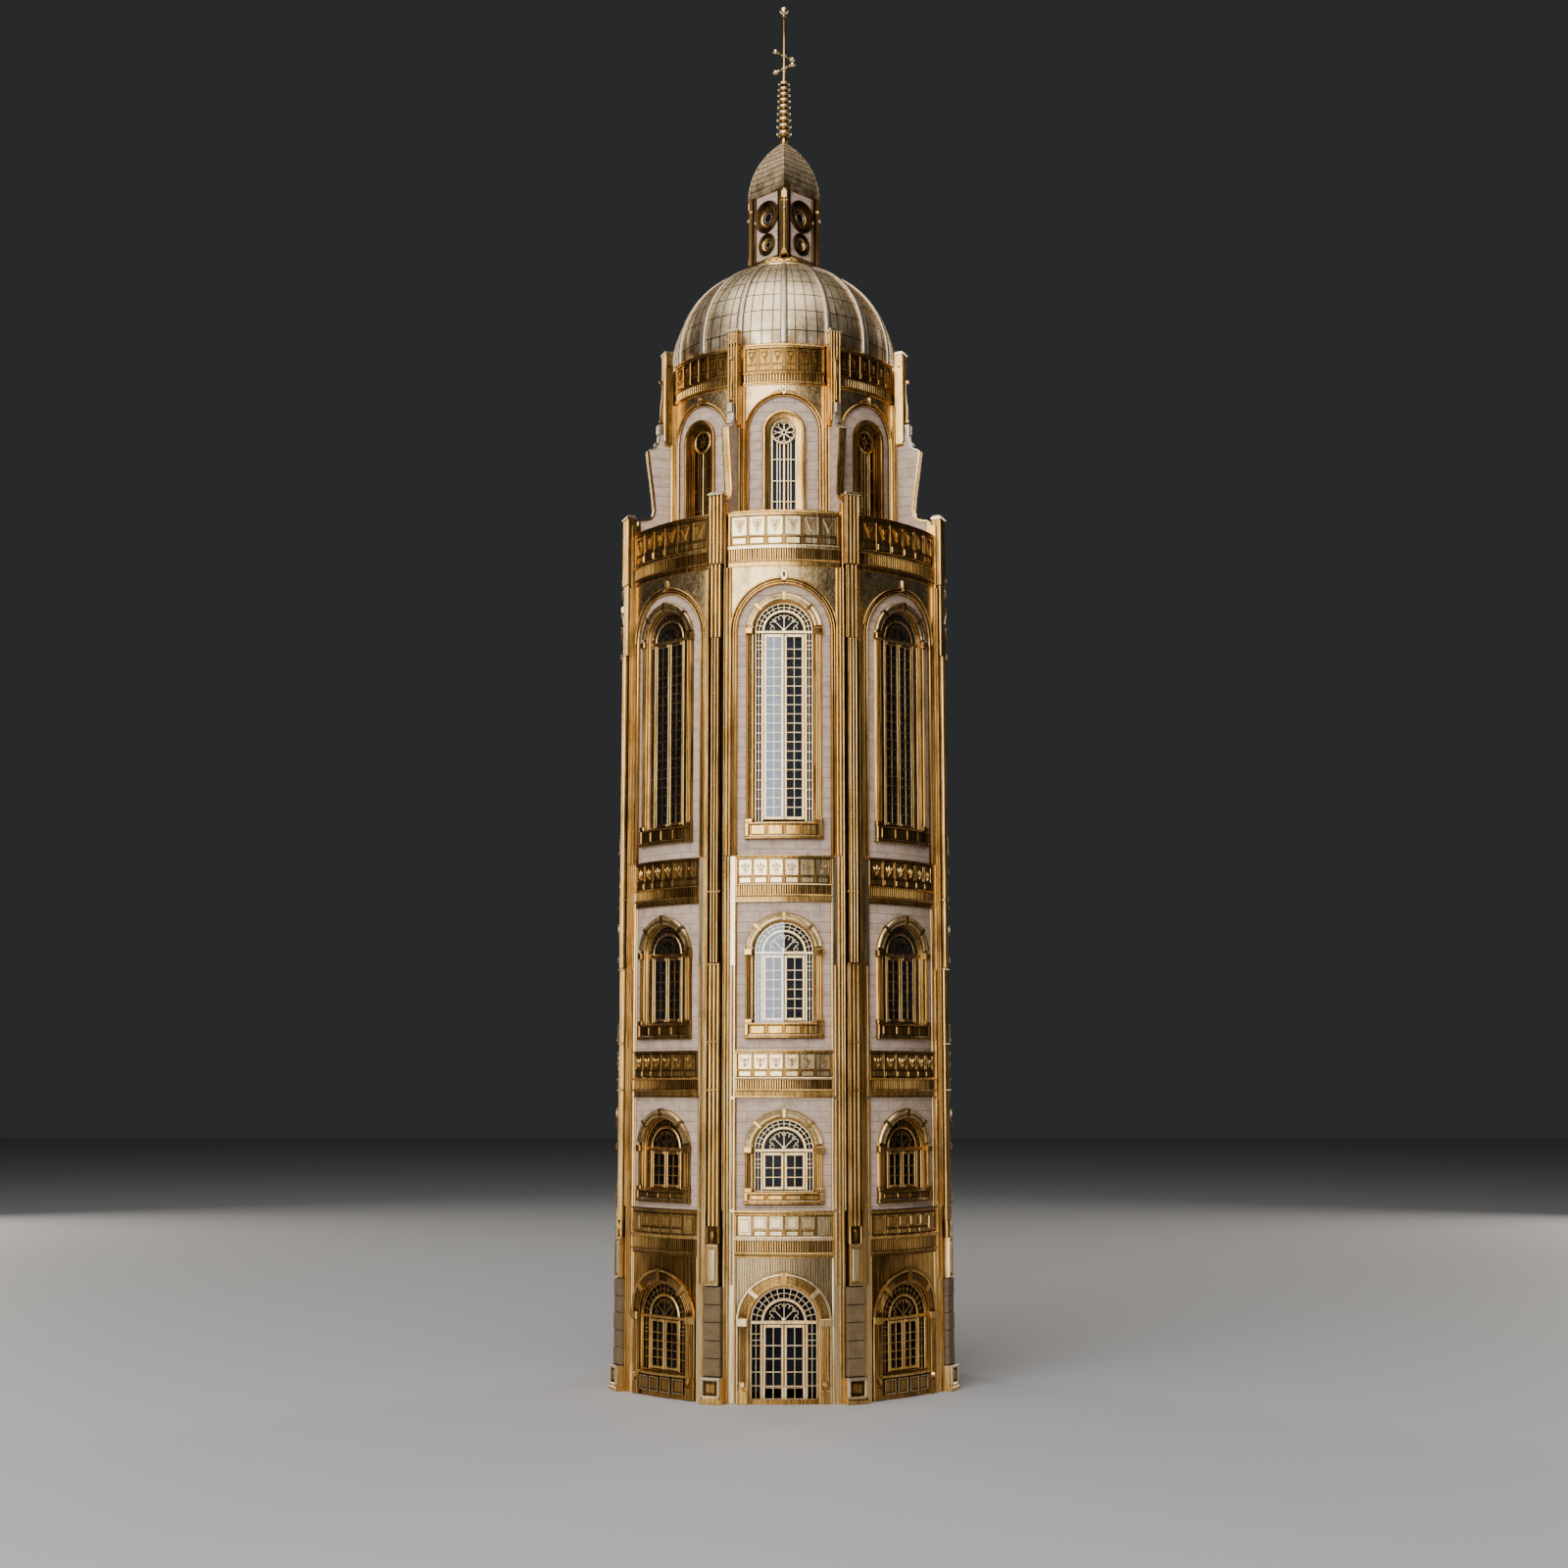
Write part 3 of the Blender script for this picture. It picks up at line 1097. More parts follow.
def hinged_leaf(word, hand, side):
    """A leaf of the portal or of the chamber's casement, and its pane."""
    body = "%s_%s" % (word, hand)
    node = "%s_leaf_%s" % (word, hand)
    z0, z1 = levels(node)
    rows, foot_rail = rows_down(z0 + RAIL, z1 - RAIL, WINDOWS["chamber"].rows), RAIL
    if word == "portal":
        z0, foot_rail, rows = PORTAL_FOOT, 0.45, PORTAL_ROWS[:-2]
    p = Piece(body + "_glazed", body, [node]).at(flat_bay(0), "pale")
    leaf(p, side, z0, z1, 11.0, rows, TRACERY, foot_rail)
    p.add(boss(circle((side * 0.9, z0 * 0.55 + z1 * 0.45), 0.35, 10), 90.8, 91.6, 0.25))
    p.make()
    pane = Piece(body + "_glass", body, ["%s_pane_%s" % (word, hand)], "glass").at(flat_bay(0), "black")
    pane.block(*on_side(side, 1.3, 9.8), z0 + 0.4, z1 - 0.8, 88.9, 89.3, 0.1)
    if word == "chamber":
        points = []
        bottom, top = z0 + 0.2, z1 - 0.2
        for u in (0.35, 10.6):
            x, r = side * u, GLAZING - 0.5 - u * LEAN
            points += [(x, bottom, r + 0.2), (x, top, r + 0.2), (x, top, r), (x, bottom, r)]
        pane.add((points, skin(2, 4)), "clear")
    pane.make()


def panes(node, word):
    """Dark panes behind a storey's fixed lights.

    The second and the chamber storey have mirroring glazing in front of them too. node is the CAD glass
    that the dark panes stand for: the first storey's stand for the second's as well.
    """
    w = WINDOWS[word]
    dark = Piece(word + "_panes", "tower", [node] if node else (), "glass")
    sheet = Piece(word + "_glazing", "tower", (), "glass")
    radius = w.inn - 0.2
    us, zs = head(radius, w.spring, 24)
    for bay in range(BAYS):
        dark.at(flat_bay(bay), "black")
        sheet.at(flat_bay(bay), "clear")
        leaves_here = bay == 0 and word in ("ground", "chamber")
        sill = BASE_TOP + 3.0 if bay == 0 and word == "ground" else w.sill + 0.6
        over_leaves = w.spring - 0.8
        dark.add(slab(us, over_leaves if leaves_here else sill, zs, *PANES))
        if leaves_here:
            dark.pair(LEAF + 0.8, radius, sill, over_leaves, *PANES, 0.1)
        elif word in ("second", "chamber"):
            glazing_sheet(sheet, w)
    dark.make()
    if sheet.count:
        sheet.make()


# ---------------------------------------------------------------- cover: upper drum
def rose(p, centre, radius, back, face):
    """An eight-petalled rose of thin loops in a ring."""
    rim = [(-0.9, back), (0.5, back), (0.5, face), (-0.2, face + 0.35), (-0.9, face)]
    p.add(ring(centre, radius, rim, 40))
    p.add(ring(centre, 1.15, bar(0.6, back, face - 0.1), 16))
    for i in range(8):
        a = math.tau * i / 8 + math.pi / 8
        cu, cz = polar(centre, radius * 0.57, a)
        c, s = math.cos(a), math.sin(a)
        loop = []
        for x, y in circle((0.0, 0.0), radius, 16):
            loop.append((cu + 0.38 * x * c - 0.235 * y * s, cz + 0.38 * x * s + 0.235 * y * c))
        normals = []
        for (u0, z0), (u1, z1) in zip([loop[-1]] + loop[:-1], loop[1:] + [loop[0]]):
            k = math.hypot(u1 - u0, z1 - z0)
            normals.append(((z1 - z0) / k, (u0 - u1) / k))
        p.add(sweep(loop, normals, bar(0.42, back, face - 0.15), True))


def upper_storey():
    p = Piece("upper_arcade", "cover", ["upper_wall", "upper_casings"], "stone")
    glass = Piece("upper_panes", "cover", ["upper_glass"], "glass")
    w = WINDOWS["upper"]
    f = UPPER_FACE
    low, high = UPPER
    radius = UPPER_INFILL
    us, zs = head(w.inn + 0.6, w.spring, 20)
    for bay in range(BAYS):
        p.at(on_bay(bay, f), DEEP[bay])
        infill(p, radius + 0.4, low, w.spring + radius + 0.6, w, f, "stone")
        infill(p, f * TURN / 2, low, high, w, 65.6)
        upper_casing(p, w, f)
        hood(p, radius, low, w.spring, f, ((0.6, 1.0, 1.5), (1.9, 1.2, 2.2)), 2.6, f + 0.8, 32, False)
        spandrels(p, UPPER_BAY_HALF, radius + 2.2, w.spring, high, f)
        shield(p, w.spring + radius + 3.0, 0.85, f + 0.4)
        for side in (-1, 1):
            for k in range(3):
                a = math.pi / 2 - side * (0.13 + 0.075 * k)
                c = (radius + 3.1 + 0.2 * k) * math.cos(a), w.spring + (radius + 3.1 - 0.2 * k) * math.sin(a)
                p.add(ring(c, 0.75 - 0.12 * k, bar(0.5, f + 0.8, f + 1.9), 10), "gilt")
        p.at(flat_bay(bay), BRIGHT[bay])
        upper_tracery(p, w, DEEP[bay])
        glass.at(flat_bay(bay), "black").add(slab(us, low, zs, 63.5, 64.1))
    p.make()
    glass.make()


def upper_casing(p, w, f):
    """A casing that steps forward in three mouldings."""
    width = w.out - w.inn
    body = [(0, -6), (0, -2.6), (0.5, -2.2), (0.5, -1.4), (1.3, -1.1), (1.3, -0.2), (2.2, 0.1), (2.2, 0.9),
            (2.9, 1.2), (3.1, 1.9), (3.7, 2.3), (width - 0.9, 2.3), (width - 0.8, 1.5), (width - 0.3, 1.3),
            (width, 0.7), (width, -2)]
    p.add(arch(w.inn, UPPER[0], w.spring, raised(f, body), 32))


def upper_tracery(p, w, sill_mat):
    """Upright and level bars under a rose."""
    low = UPPER[0]
    back, face = 64.5, 66.3
    p.centred(w.inn, low, w.sill - 4.2, back - 1.5, face + 0.3, 0.3, sill_mat)
    p.post(bar(1.3, back, face), low, w.spring - 6.6)
    for u, under in ((-3.9, 4.6), (-2.3, 5.9), (2.3, 5.9), (3.9, 4.6)):
        p.post(bar(0.6, back + 0.3, face - 0.2, u), low, w.spring - under)
    for z in (491.5, 503.5, 516.0):
        p.rail(rung(z, back + 0.3, face - 0.25), -w.inn, w.inn)
    p.add(arch(w.inn - 0.5, low, w.spring, [(0, back), (0.7, back), (0.7, face), (0, face)], 24))
    rose(p, (0.0, w.spring - 0.2), 6.5, back, face)


def upper_parapet():
    p = Piece("upper_parapet", "cover", ["upper_entablature"])
    z0, z5 = UPPER[1], UPPER_PARAPET_TOP
    z = (z0, z0 + 2.0, z0 + 6.4, z0 + 8.2, z0 + 21.8, z5)
    for bay in range(BAYS):
        frieze(p.at(on_bay(bay, UPPER_FACE)), UPPER_BAY_HALF, z, UPPER_FACE, v_motif, "antique", 28)
    backing(p, 64.8, UPPER_FACE, z0 + 0.3, z5 - 0.3)
    p.make()


def terrace():
    """The paving, which laps over the parapet, with 48 flags round its edge."""
    z0, z1 = TERRACE
    low = PARAPET_TOP + 0.02
    p = Piece("terrace_paving", "cover", ["terrace_plate"])
    profile = [(58, low), (85.3, low), (85.3, z0), (87.6, z0), (87.6, low), (90.6, low),
               (90.9, PARAPET_TOP + 0.6), (90.6, z1), (58, z1)]
    p.add(turned(profile))
    for a in spread(FRONT, FRONT + math.tau, 48):
        p.at(flat_at(a)).centred(4.9, z1 - 0.3, z1 + 0.35, 79.0, 90.2, 0.3, "antique")
    p.make()


def buttress(i):
    """An upper pier: strips, hanging pilaster with a rounded end, scrolls and the stone fin."""
    p = Piece("upper_pier_%d_moulded" % (i + 1), "cover", ["upper_pier_%d" % (i + 1)]).at(at_pier(i))
    f = UPPER_FACE
    low, top = TERRACE[1] + 0.3, UPPER_PIER_TOP
    p.pair(3.2, 4.2, low, UPPER[1], f, 71.9, 0.25)
    p.pair(4.1, 5.5, low, UPPER[1], f, 71.1, 0.25)
    p.centred(3.3, low, 545.0, f, 71.2, 0.2, "antique")
    for u in (-2.3, 0.0, 2.3):
        p.post(reed(u, 1.7, 71.0, 72.6, 70), low, 540.0)
    hanging_pilaster(p, 3.4, 536.5, top)
    fin(p, low)
    scrolls(p)
    p.make()


def hanging_pilaster(p, half, foot, top):
    """A reeded pilaster whose foot is rounded, under a small cap."""
    band = UPPER_PARAPET_TOP
    angles = [math.pi + math.pi * j / 10 for j in range(11)]
    tongue = [(half * math.cos(a), foot + half * 0.9 * math.sin(a)) for a in angles]
    p.add(boss(tongue + [(half, band + 0.6), (-half, band + 0.6)], 71.6, 76.0, 0.04))
    p.centred(half, band + 0.4, top - 1.6, 71.75, 76.2, 0.2)
    for u in spread(-half, half, 4):
        p.post(reed(u, 1.35, 75.8, 76.9, 75), foot + 0.6, top - 1.9)
    p.centred(half + 0.4, top - 1.9, top - 0.9, 71.75, 77.2, 0.3, "pale")
    p.centred(half - 0.3, top - 1.0, top - 0.05, 71.9, 76.6, 0.45, "pale")


def fin(p, low):
    """The stone fin and its edges. Its outline is (distance, height), up its outer edge and over its top."""
    outer = [(91.0, TERRACE[1] + 0.4), (91.3, 487.9), (89.6, 488.6), (86.9, 489.0), (84.4, 490.0),
             (82.6, 492.0), (81.9, 495.4), (83.0, 505.4), (84.4, 515.4), (85.7, 524.9), (86.3, 530.4)]
    inner = [(85.0, 531.4), (83.3, 531.9), (81.8, 532.8), (80.6, 534.6), (79.8, 537.2), (79.3, 540.5),
             (79.0, FIN_TOP)]
    outline = outer + inner + [(72.0, FIN_TOP), (72.0, low)]
    thick = 1.9
    cheeks = [(u, z, r) for u in (-thick, thick) for r, z in outline]
    p.add((cheeks, skin(2, len(outline))), "stone")
    p.add(edging(outer, 0.3, -0.8, 2.15))
    p.add(edging(inner, 0.15, -0.7, 2.05), "cream")


def edging(path, out, back, half):
    """A strip of half-width half along a path of (distance, height), from back inside it to out beyond it."""
    points = []
    section = ((-half, back), (half, back), (half, out * 0.6), (half * 0.7, out), (-half * 0.7, out),
               (-half, out * 0.6))
    for k, (r, z) in enumerate(path):
        r0, z0 = path[max(k - 1, 0)]
        r1, z1 = path[min(k + 1, len(path) - 1)]
        length = math.hypot(r1 - r0, z1 - z0)
        nr, nz = (z1 - z0) / length, (r0 - r1) / length
        points += [(u, z + nz * d, r + nr * d) for u, d in section]
    return points, skin(len(path), len(section))


def scrolls(p):
    """The small volute over the fin and the slender curl up the pilaster's face."""
    p.centred(1.9, 541.0, 547.0, 75.6, 80.4, 0.6, "cream")
    p.add(edging(circle((80.7, 535.0), 1.0, 14, True), 0.3, -0.6, 1.7), "cream")
    curl = [(77.6 + 0.55 * math.sin(math.tau * j / 18), 548.5 + 25.0 * j / 18) for j in range(19)]
    p.add(edging(curl, 0.25, -0.5, 0.55))
    for end in ((78.0, 549.6), (78.2, 573.2)):
        p.add(edging(circle(end, 0.8, 12, True), 0.25, -0.5, 0.8))


# ---------------------------------------------------------------- cover: dome, lantern, spire
def dome_radius(z, offset=0.0):
    if z <= DOME_SPRING:
        return DOME_RADIUS + offset
    t = (z - DOME_SPRING) / (DOME_RISE + offset)
    return (DOME_RADIUS + offset) * math.sqrt(max(0.0, 1 - t * t))


def climbing(sections, radius):
    """A bar that climbs a dome or a roof. sections gives heights, each with a profile of (across, offset)."""
    points = [(u, z, radius(z, offset)) for z, profile in sections for u, offset in profile]
    return points, skin(len(sections), len(sections[0][1]))


def dome_plate(a0, a1, low, high):
    """A curved plate of three rows and two columns, one millimetre thick, in the frame."""
    zs = [low + (high - low) * k / 3 for k in range(4)]
    angles = [a0 + (a1 - a0) * k / 2 for k in range(3)]
    points = []
    for offset in (-1.0, 0.0):
        for z in zs:
            r = dome_radius(z, offset)
            points += [(r * math.cos(a), r * math.sin(a), z) for a in angles]
    faces = []
    for q in (0, 1, 3, 4, 6, 7):
        faces += [(q, q + 1, q + 4, q + 3), (q + 12, q + 13, q + 16, q + 15)]
    rim = [0, 1, 2, 5, 8, 11, 10, 9, 6, 3]
    faces += [(a, b, 12 + b, 12 + a) for a, b in zip(rim, rim[1:] + rim[:1])]
    return points, faces


def dome_plates():
    p = Piece("dome_plates", "cover", ["dome_shell"], "pale_gilt")
    steps = 24
    eye = math.acos(17 / DOME_RADIUS)  # how far up the dome its shell reaches, to an eye of radius 17
    heights = [UPPER_PARAPET_TOP]
    heights += [DOME_SPRING + DOME_RISE * math.sin(eye * i / steps) for i in range(steps + 1)]
    outer = [(dome_radius(z, -0.7), z) for z in heights]
    inner = [(max(r - 1.8, 15.5), z - 0.6) for r, z in outer][::-1]
    p.add(turned(outer + inner), "dark", True)
    columns, gap = 64, 0.0050  # the gap is half of that between two columns of plates, in radians
    half = 0.2
    seam = ((-half, -0.4), (half, -0.4), (half * 0.6, 0.3), (-half * 0.6, 0.3))
    foot, top = DOME_SEAMS[0], DOME_SEAMS[-1] - 5.0
    sections = [(foot + (top - foot) * k / 12, seam) for k in range(13)]
    for c in range(columns):
        a0 = FRONT + math.tau * c / columns
        p.at(AS_IS, "roof")
        for low, high in zip(DOME_SEAMS, DOME_SEAMS[1:]):
            p.add(dome_plate(a0 + gap, a0 + math.tau / columns - gap, low + 0.28, high - 0.28))
        if c % 4:
            p.at(flat_at(a0)).add(climbing(sections, dome_radius), "antique")
    p.make()


def dome_ribs():
    p = Piece("dome_ribs_moulded", "cover", ["dome_ribs"], "pale_gilt")
    low, top = UPPER_PARAPET_TOP, DOME_RIB_TOP
    steps = 22
    sections = []
    for k in range(steps + 1):
        half = 2.2 - 0.6 * k / steps
        z = low + 0.3 + (top - low) * math.sin(k / steps * math.pi / 2)
        front = ((half, 0.7), (half * 0.7, 1.3), (-half * 0.7, 1.3), (-half, 0.7))
        sections.append((z, ((-half, -0.4), (half, -0.4)) + front))
    for i in range(16):
        p.at(flat_at(FRONT + math.tau * i / 16)).add(climbing(sections, dome_radius), "cream", True)
    p.at(AS_IS)
    p.add(turned([(66.4, 582.4), (68.7, 582.4), (68.7, 583.4), (67.8, 584.2), (66.4, 584.2)]))
    eye = [(23.4, top - 0.9), (26.4, top - 0.6), (26.6, top + 0.4), (25.2, top + 1.5), (23.6, top + 1.9)]
    p.add(turned(eye, 64), "pale", True)
    p.make()


def collar():
    """The lantern's moulded foot with a row of dentils."""
    z0, z1 = levels("lantern_collar")
    p = Piece("lantern_collar_moulded", "cover", ["lantern_collar"], "pale_gilt")
    profile = [(0, 1.3), (17, 1.3), (22.4, 0.1), (22.8, 0.6), (22.6, 1.3), (20.8, 1.8), (20.2, 2.2),
               (20.3, 3.0), (19.7, 3.6), (18.3, 3.9), (17.8, 4.4), (18.0, 5.0), (17.3, 5.5)]
    p.add(spun([(r, z0 + z) for r, z in profile] + [(17.2, z1), (0, z1)], 64), "gilt", True)
    for i in range(32):
        p.at(flat_at(math.tau * i / 32)).centred(0.65, z0 + 0.7, z0 + 2.0, 20.4, 22.75, 0.3, "dark")
    p.make()


def lantern():
    """The square lantern: stone panels, corner pilasters and two round lights in each face."""
    p = Piece("lantern_faces", "cover", ["lantern_body"], "stone")
    half, face = 15.3, 14.3
    big, small = (0.0, 682.5), (0.0, 665.6)
    for k in range(4):
        p.at(flat_at(FRONT + math.pi / 4 + k * math.pi / 2))
        lantern_wall(p, half, face, ((small, 5.9), (big, 8.5)))
        round_light(p, big, 8.4, 8, face)
        round_light(p, small, 5.8, 6, face)
        p.add(spoke(big, -math.pi / 2, 9.2, 11.0, 1.6, face - 0.5, face + 0.9, 2.2), "antique")
        brow = [(0, -0.5), (0.9, -0.5), (1.0, 0.9), (0.6, 1.2), (0, 0.8)]
        p.add(arc(big, 9.4, raised(face, brow)), "dark")
        p.pair(9.3, 10.8, big[1] - 2.0, big[1] + 0.2, face - 0.3, face + 1.1, 0.4)
        p.centred(half, LANTERN[0], LANTERN[0] + 1.6, face - 1, half + 0.1, 0.3, "antique")
    for k in range(4):
        lantern_corner(p.at(flat_at(FRONT + k * math.pi / 2), "antique"), 21.4, big[1])
    p.make()


def lantern_wall(p, half, face, holes):
    """A stone face with round holes, each given as its centre and radius, from the lowest up."""
    z0, z1 = LANTERN
    reach, steps = 8.6, 18
    p.pair(reach, half - 0.5, z0, z1, face - 2.2, face, 0.05, "stone")
    us = [reach * math.cos(math.pi * i / steps) for i in range(steps + 1)]
    low = [z0] * len(us)
    for (_, middle), radius in holes:
        rise = [math.sqrt(max(0.0, radius * radius - u * u)) for u in us]
        p.add(slab(us, low, [middle - h for h in rise], face - 2.2, face), "stone")
        low = [middle + h for h in rise]
    p.add(slab(us, low, z1, face - 2.2, face), "stone")


def round_light(p, centre, radius, spokes, face):
    """A round light: a dark outer ring, a gilt inner ring, a cream eye with spokes and a dark disc."""
    eye = radius * 0.50
    rim = [(-1.5, -1.2), (1.0, -0.4), (1.1, 0.5), (0.7, 1.0), (0.1, 1.0), (-0.2, 0.5), (-0.8, 0.4),
           (-1.0, 0.9), (-1.5, 0.8)]
    p.add(ring(centre, radius, raised(face, rim), 40), "dark", True)
    near = eye - radius
    dish = [(near, -1.4), (-1.4, -1.4), (-1.4, 0.3), (-1.9, 0.4), (near + 0.5, -0.2), (near, -0.5)]
    p.add(ring(centre, radius, raised(face, dish), 40), "gilt", True)
    p.add(ring(centre, eye * 0.72, bar(0.65, face - 1.4, face - 0.5), 24), "cream")
    for a in spread(0.0, math.tau, spokes):
        p.add(spoke(centre, a, eye * 0.75, eye + 0.2, 0.5, face - 1.4, face - 0.6), "gilt")
    p.add(boss(circle(centre, eye + 0.3, 28), face - 1.8, face - 1.1, 0.02), "black")


def lantern_corner(p, r, middle):
    """A dark corner column with a thin bar up its edge, whose front is at distance r."""
    z0, z1 = LANTERN
    right = [(2.0, -0.3), (2.2, -2.1), (2.8, -2.2), (3.9, -3.5), (3.9, -5.0)]
    p.post(raised(r, [(-u, d) for u, d in right[::-1]] + right), z0 + 0.1, z1 - 0.1, "dark")
    p.post(bar(1.3, r - 0.6, r), z0 + 0.3, z1 - 0.3)
    p.add(boss([(-2.9, z0 + 0.2), (2.9, z0 + 0.2), (0.0, z0 + 7.5)], r - 1.0, r + 0.15, 0.35))
    p.centred(0.8, middle + 0.9, middle + 2.5, r - 0.8, r + 1.0, 0.5, "cream")
    p.centred(2.3, z1 - 8.5, z1 - 6.9, r - 2.4, r + 0.1, 0.5)
    top = [(-1.9, z1 - 6.8), (1.9, z1 - 6.8), (1.9, z1 - 2.0), (0.0, z1 + 0.6), (-1.9, z1 - 2.0)]
    p.add(boss(top, r - 1.0, r + 0.15, 0.2), "gilt")


def roof_half(z):
    """Half the diagonal of the lantern's roof at height z: a pointed arch over the eaves."""
    eave, rise = 21.7, 735.0 - LANTERN[1]
    offset = (rise * rise - eave * eave) / (2 * eave)
    radius = eave + offset
    z -= LANTERN[1]
    return math.sqrt(max(0.0, radius * radius - z * z)) - offset


def roof_edge(z, offset):
    return max(roof_half(z) + offset, 0.25)


def lantern_roof():
    """Ten lapping square courses between four thin ridge bars."""
    z0, z1 = LANTERN[1], ROOF_TOP
    p = Piece("lantern_roof_courses", "cover", ["lantern_roof"], "pale_gilt")
    corners = [FRONT + q * math.pi / 2 for q in range(4)]
    courses, steps = 10, 5
    seam, lap = 0.36, 0.35
    seams = [z0 + (z1 - z0) * (k / courses) ** 0.92 for k in range(courses + 1)]
    for low, high in zip(seams, seams[1:]):
        foot = low + seam
        loop = [(low, -1.1), (foot, -1.1)]
        loop += [(foot + (high - foot) * j / steps, lap * (1 - j / steps)) for j in range(steps + 1)]
        points = []
        for z, extra in loop:
            h = max(roof_half(z) + extra, 0.3)
            points += [(h * math.cos(t), h * math.sin(t), z) for t in corners]
        p.add((points, skin(len(loop), 4)), "slate")
    ridge = ((-0.5, -1.0), (0.5, -1.0), (0.35, -0.15), (0.0, 0.15), (-0.35, -0.15))
    sections = [(z0 + 0.2 + (z1 - z0 - 0.2) * k / 20, ridge) for k in range(21)]
    for t in corners:
        p.at(flat_at(t)).add(climbing(sections, roof_edge), "cream")
    p.make()


def spire():
    """A tapering stem with nine rings that grow smaller and closer upwards."""
    p = Piece("spire_rings", "cover", ["spire_stem"])
    foot = [(0, 0), (2.3, 0), (1.9, 2.0), (1.35, 4.4)]
    tip = [(1.3, 772.0), (1.0, 774.0), (0.9, 780.0), (0.7, SPIRE_TOP), (0, SPIRE_TOP)]
    p.add(spun([(r, ROOF_TOP + z) for r, z in foot] + tip, 24), "gilt", True)
    z = 740.1
    rings = 9
    for i in range(rings):
        t = i / (rings - 1)
        out, core, step, tube = 4.6 - 1.1 * t, 3.1 - 0.8 * t, 4.5 - 1.1 * t, 1.15 - 0.25 * t
        p.add(turned(circle((out - tube, z), tube, 12), 40), "pale", True)
        reach = step / 2 if i < rings - 1 else 1.0
        drum = [(1.0, -1.0), (core - 0.2, -1.0), (core, -0.5), (core, 0.5), (core - 0.2, 1.0), (1.0, 1.0)]
        p.add(turned([(r, z + k * reach) for r, k in drum], 32), "antique", True)
        z += step
    p.make()


def vane():
    """Two crossed arms at different heights, each a pair of turned rods with balls at their ends."""
    p = Piece("vane_arms_turned", "cover", ["vane_arms"])
    rod = [(0.0, 1.0), (0.75, 1.0), (0.75, 1.9), (0.5, 2.4), (0.42, 4.6), (0.8, 4.9), (0.8, 5.3), (0.45, 5.6)]
    ball = [(1.5 * math.sin(t), 7.3 - 1.5 * math.cos(t)) for t in [math.pi * j / 10 for j in range(1, 11)]]
    points, faces = spun(rod + ball, 16)
    for z, a in ((782.6, -math.pi / 4), (790.9, math.pi / 4)):
        hub = [(0.65, z - 0.9), (1.15, z - 0.6), (1.3, z), (1.15, z + 0.6), (0.65, z + 0.9)]
        p.at(AS_IS, "pale").add(turned(hub, 24), None, True)
        for angle in (a, a + math.pi):
            p.at(flat_at(angle), "pale").add(([(x, y + z, r) for x, y, r in points], faces), None, True)
    p.make()


def finial_ball():
    top = levels("finial_ball")[1]
    p = Piece("finial_ball_turned", "cover", ["finial_ball"])
    r = 2.5
    ball = [(r * math.sin(t), top - r - r * math.cos(t)) for t in [math.pi * j / 14 for j in range(15)]]
    p.add(spun(ball, 24), "pale", True)
    socket = [(0.6, -2.6), (1.1, -2.2), (1.1, -1.0), (0.8, -0.2), (0.6, 0)]
    p.add(turned([(r, SPIRE_TOP + z) for r, z in socket], 20), "gilt", True)
    p.make()


# ---------------------------------------------------------------- the stage
def floor():
    mesh = bpy.data.meshes.new("floor")
    e = 6.0
    mesh.from_pydata([(-e, -e, 0), (e, -e, 0), (e, e, 0), (-e, e, 0)], [], [(0, 1, 2, 3)])
    sheet = bpy.data.objects.new("floor", mesh)
    bpy.context.scene.collection.objects.link(sheet)
    material, _, shader = node_material("studio_floor")
    shader.inputs["Base Color"].default_value = (0.42, 0.42, 0.43, 1)
    shader.inputs["Roughness"].default_value = 0.7
    mesh.materials.append(material)


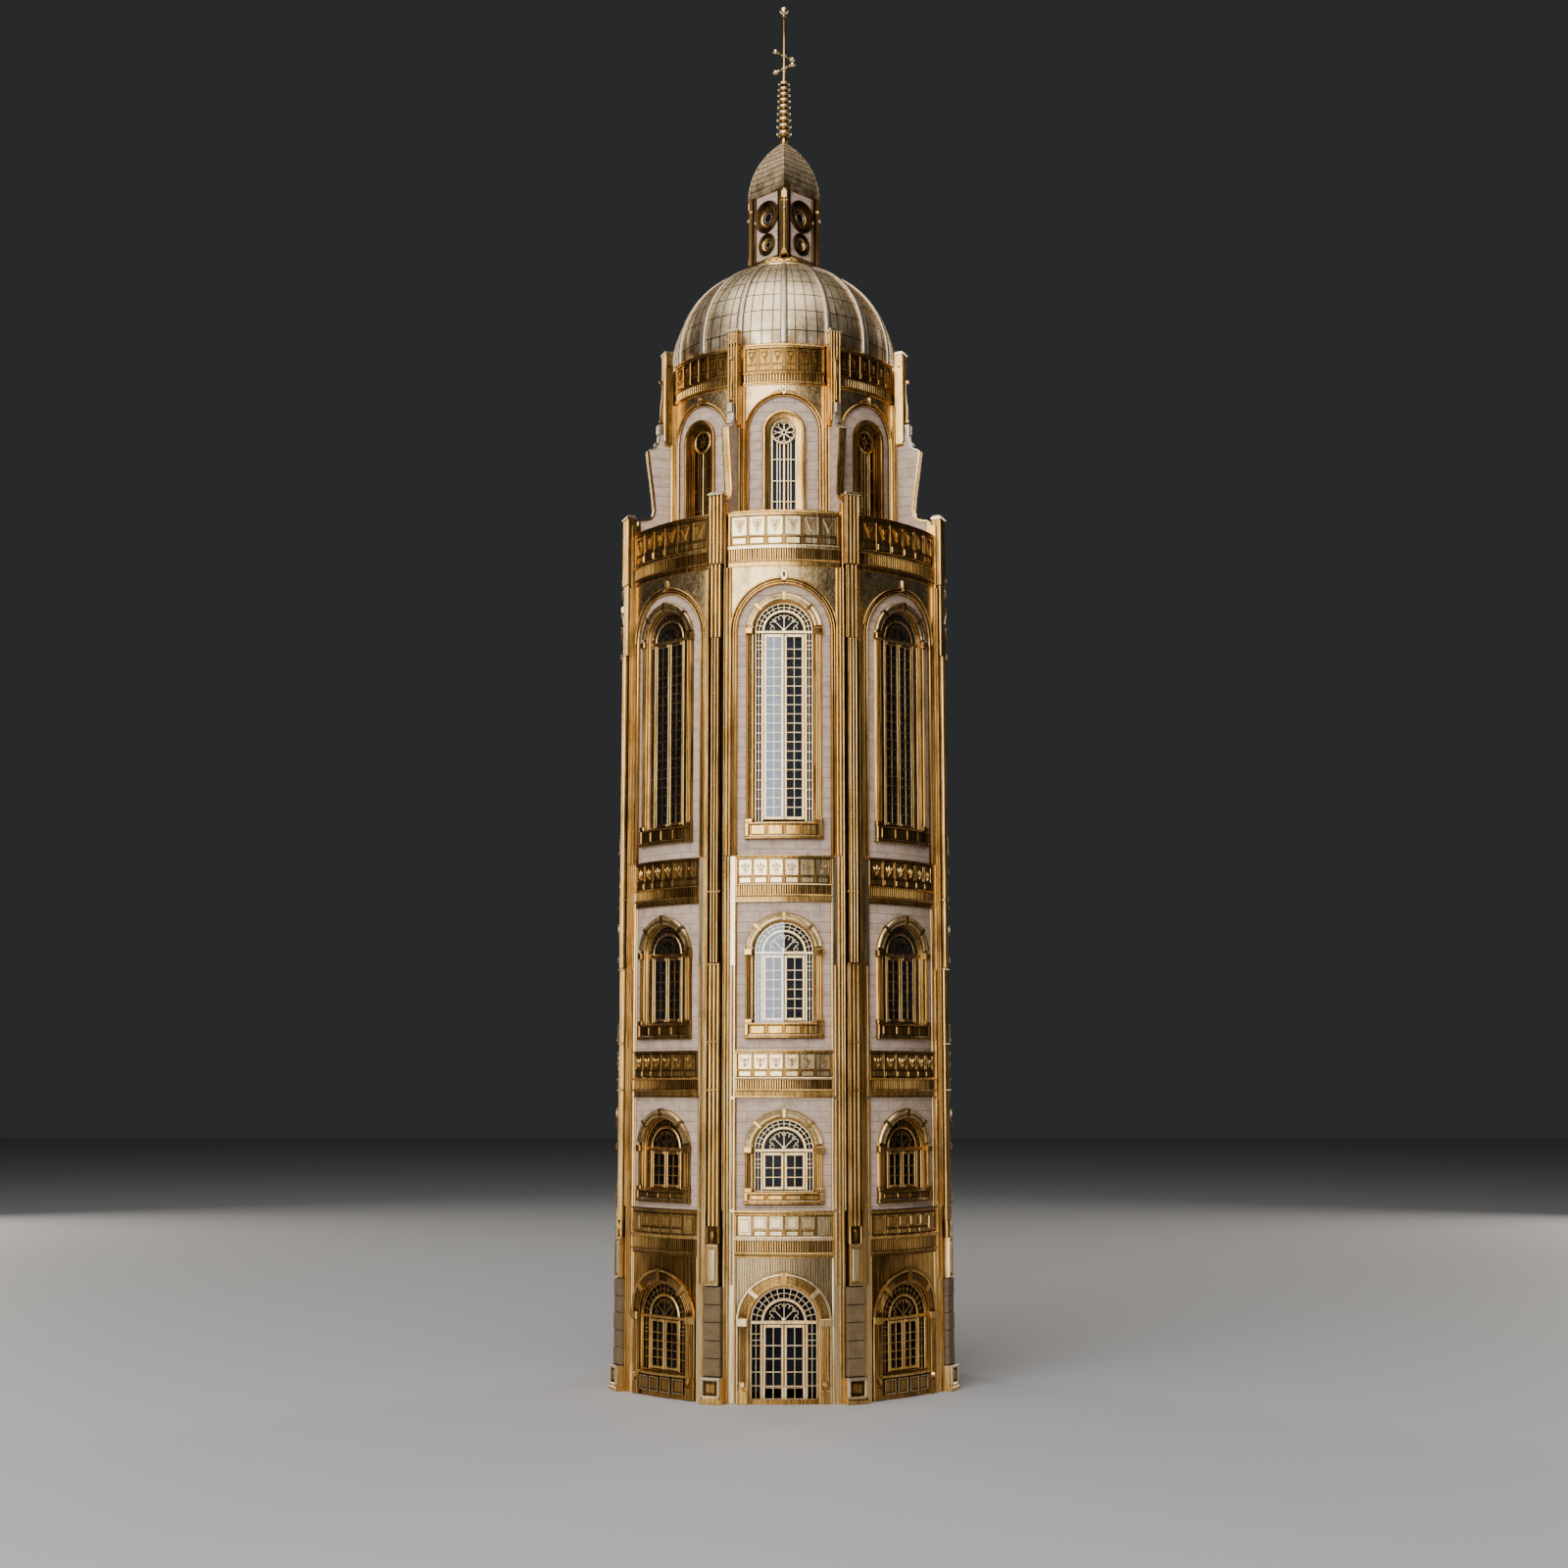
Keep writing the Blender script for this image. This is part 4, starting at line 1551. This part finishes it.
def lamp(name, place, target, width, height, power, colour):
    data = bpy.data.lights.new(name, "AREA")
    data.shape, data.size, data.size_y = "RECTANGLE", width, height
    data.energy, data.color = power, colour
    light = bpy.data.objects.new(name, data)
    light.location = place
    light.rotation_mode = "QUATERNION"
    light.rotation_quaternion = (Vector(target) - Vector(place)).to_track_quat("-Z", "Y")
    light.visible_camera = False
    bpy.context.scene.collection.objects.link(light)


def studio():
    scene = bpy.context.scene
    floor()
    world = bpy.data.worlds.new("studio")
    world.use_nodes = True
    background = world.node_tree.nodes["Background"]
    background.inputs["Color"].default_value = (0.62, 0.64, 0.68, 1)
    background.inputs["Strength"].default_value = 0.045
    scene.world = world
    lamp("key", (-0.60, -1.57, 0.78), (-0.03, 0, 0.72), 1.34, 1.50, 38, (0.97, 0.98, 1.0))
    lamp("fill", (0.17, -1.66, 0.78), (0, 0, 0.72), 0.20, 1.50, 1.6, (1.0, 0.95, 0.88))
    lamp("high", (-0.30, -0.70, 1.90), (0, 0, 0.50), 1.8, 1.7, 28, (1.0, 0.96, 0.91))
    lamp("rim_left", (-1.1, 1.35, 0.8), (0, 0, 0.40), 0.3, 1.4, 9, (1.0, 0.93, 0.82))
    lamp("rim_right", (1.1, 1.35, 0.8), (0, 0, 0.40), 0.3, 1.4, 8, (1.0, 0.93, 0.82))
    data = bpy.data.cameras.new("camera")
    data.lens, data.sensor_width = 50.0, 36.0
    camera = bpy.data.objects.new("camera", data)
    camera.location = (0.0, -1.262, 0.1636)
    camera.rotation_euler = (math.radians(90 + 7.942), 0.0, 0.0)
    scene.collection.objects.link(camera)
    scene.camera = camera


ground_storey()
window_storey("first_arcade", FIRST, ["first_wall", "first_casings"])
window_storey("second_arcade", SECOND, ["second_wall", "second_casings"])
chamber_storey()
storey_friezes()
lower_parapet()
for number in range(BAYS):
    pier(number)
    buttress(number)
base_mould()
chamber_floor()
luna_stand()
luna()
for leaf_word in ("portal", "chamber"):
    hinged_leaf(leaf_word, "left", -1)
    hinged_leaf(leaf_word, "right", 1)
panes("ground_glass", "ground")
panes("hall_glass", "first")
panes(None, "second")
panes("chamber_glass", "chamber")
terrace()
upper_storey()
upper_parapet()
dome_plates()
dome_ribs()
collar()
lantern()
lantern_roof()
spire()
vane()
finial_ball()
studio()
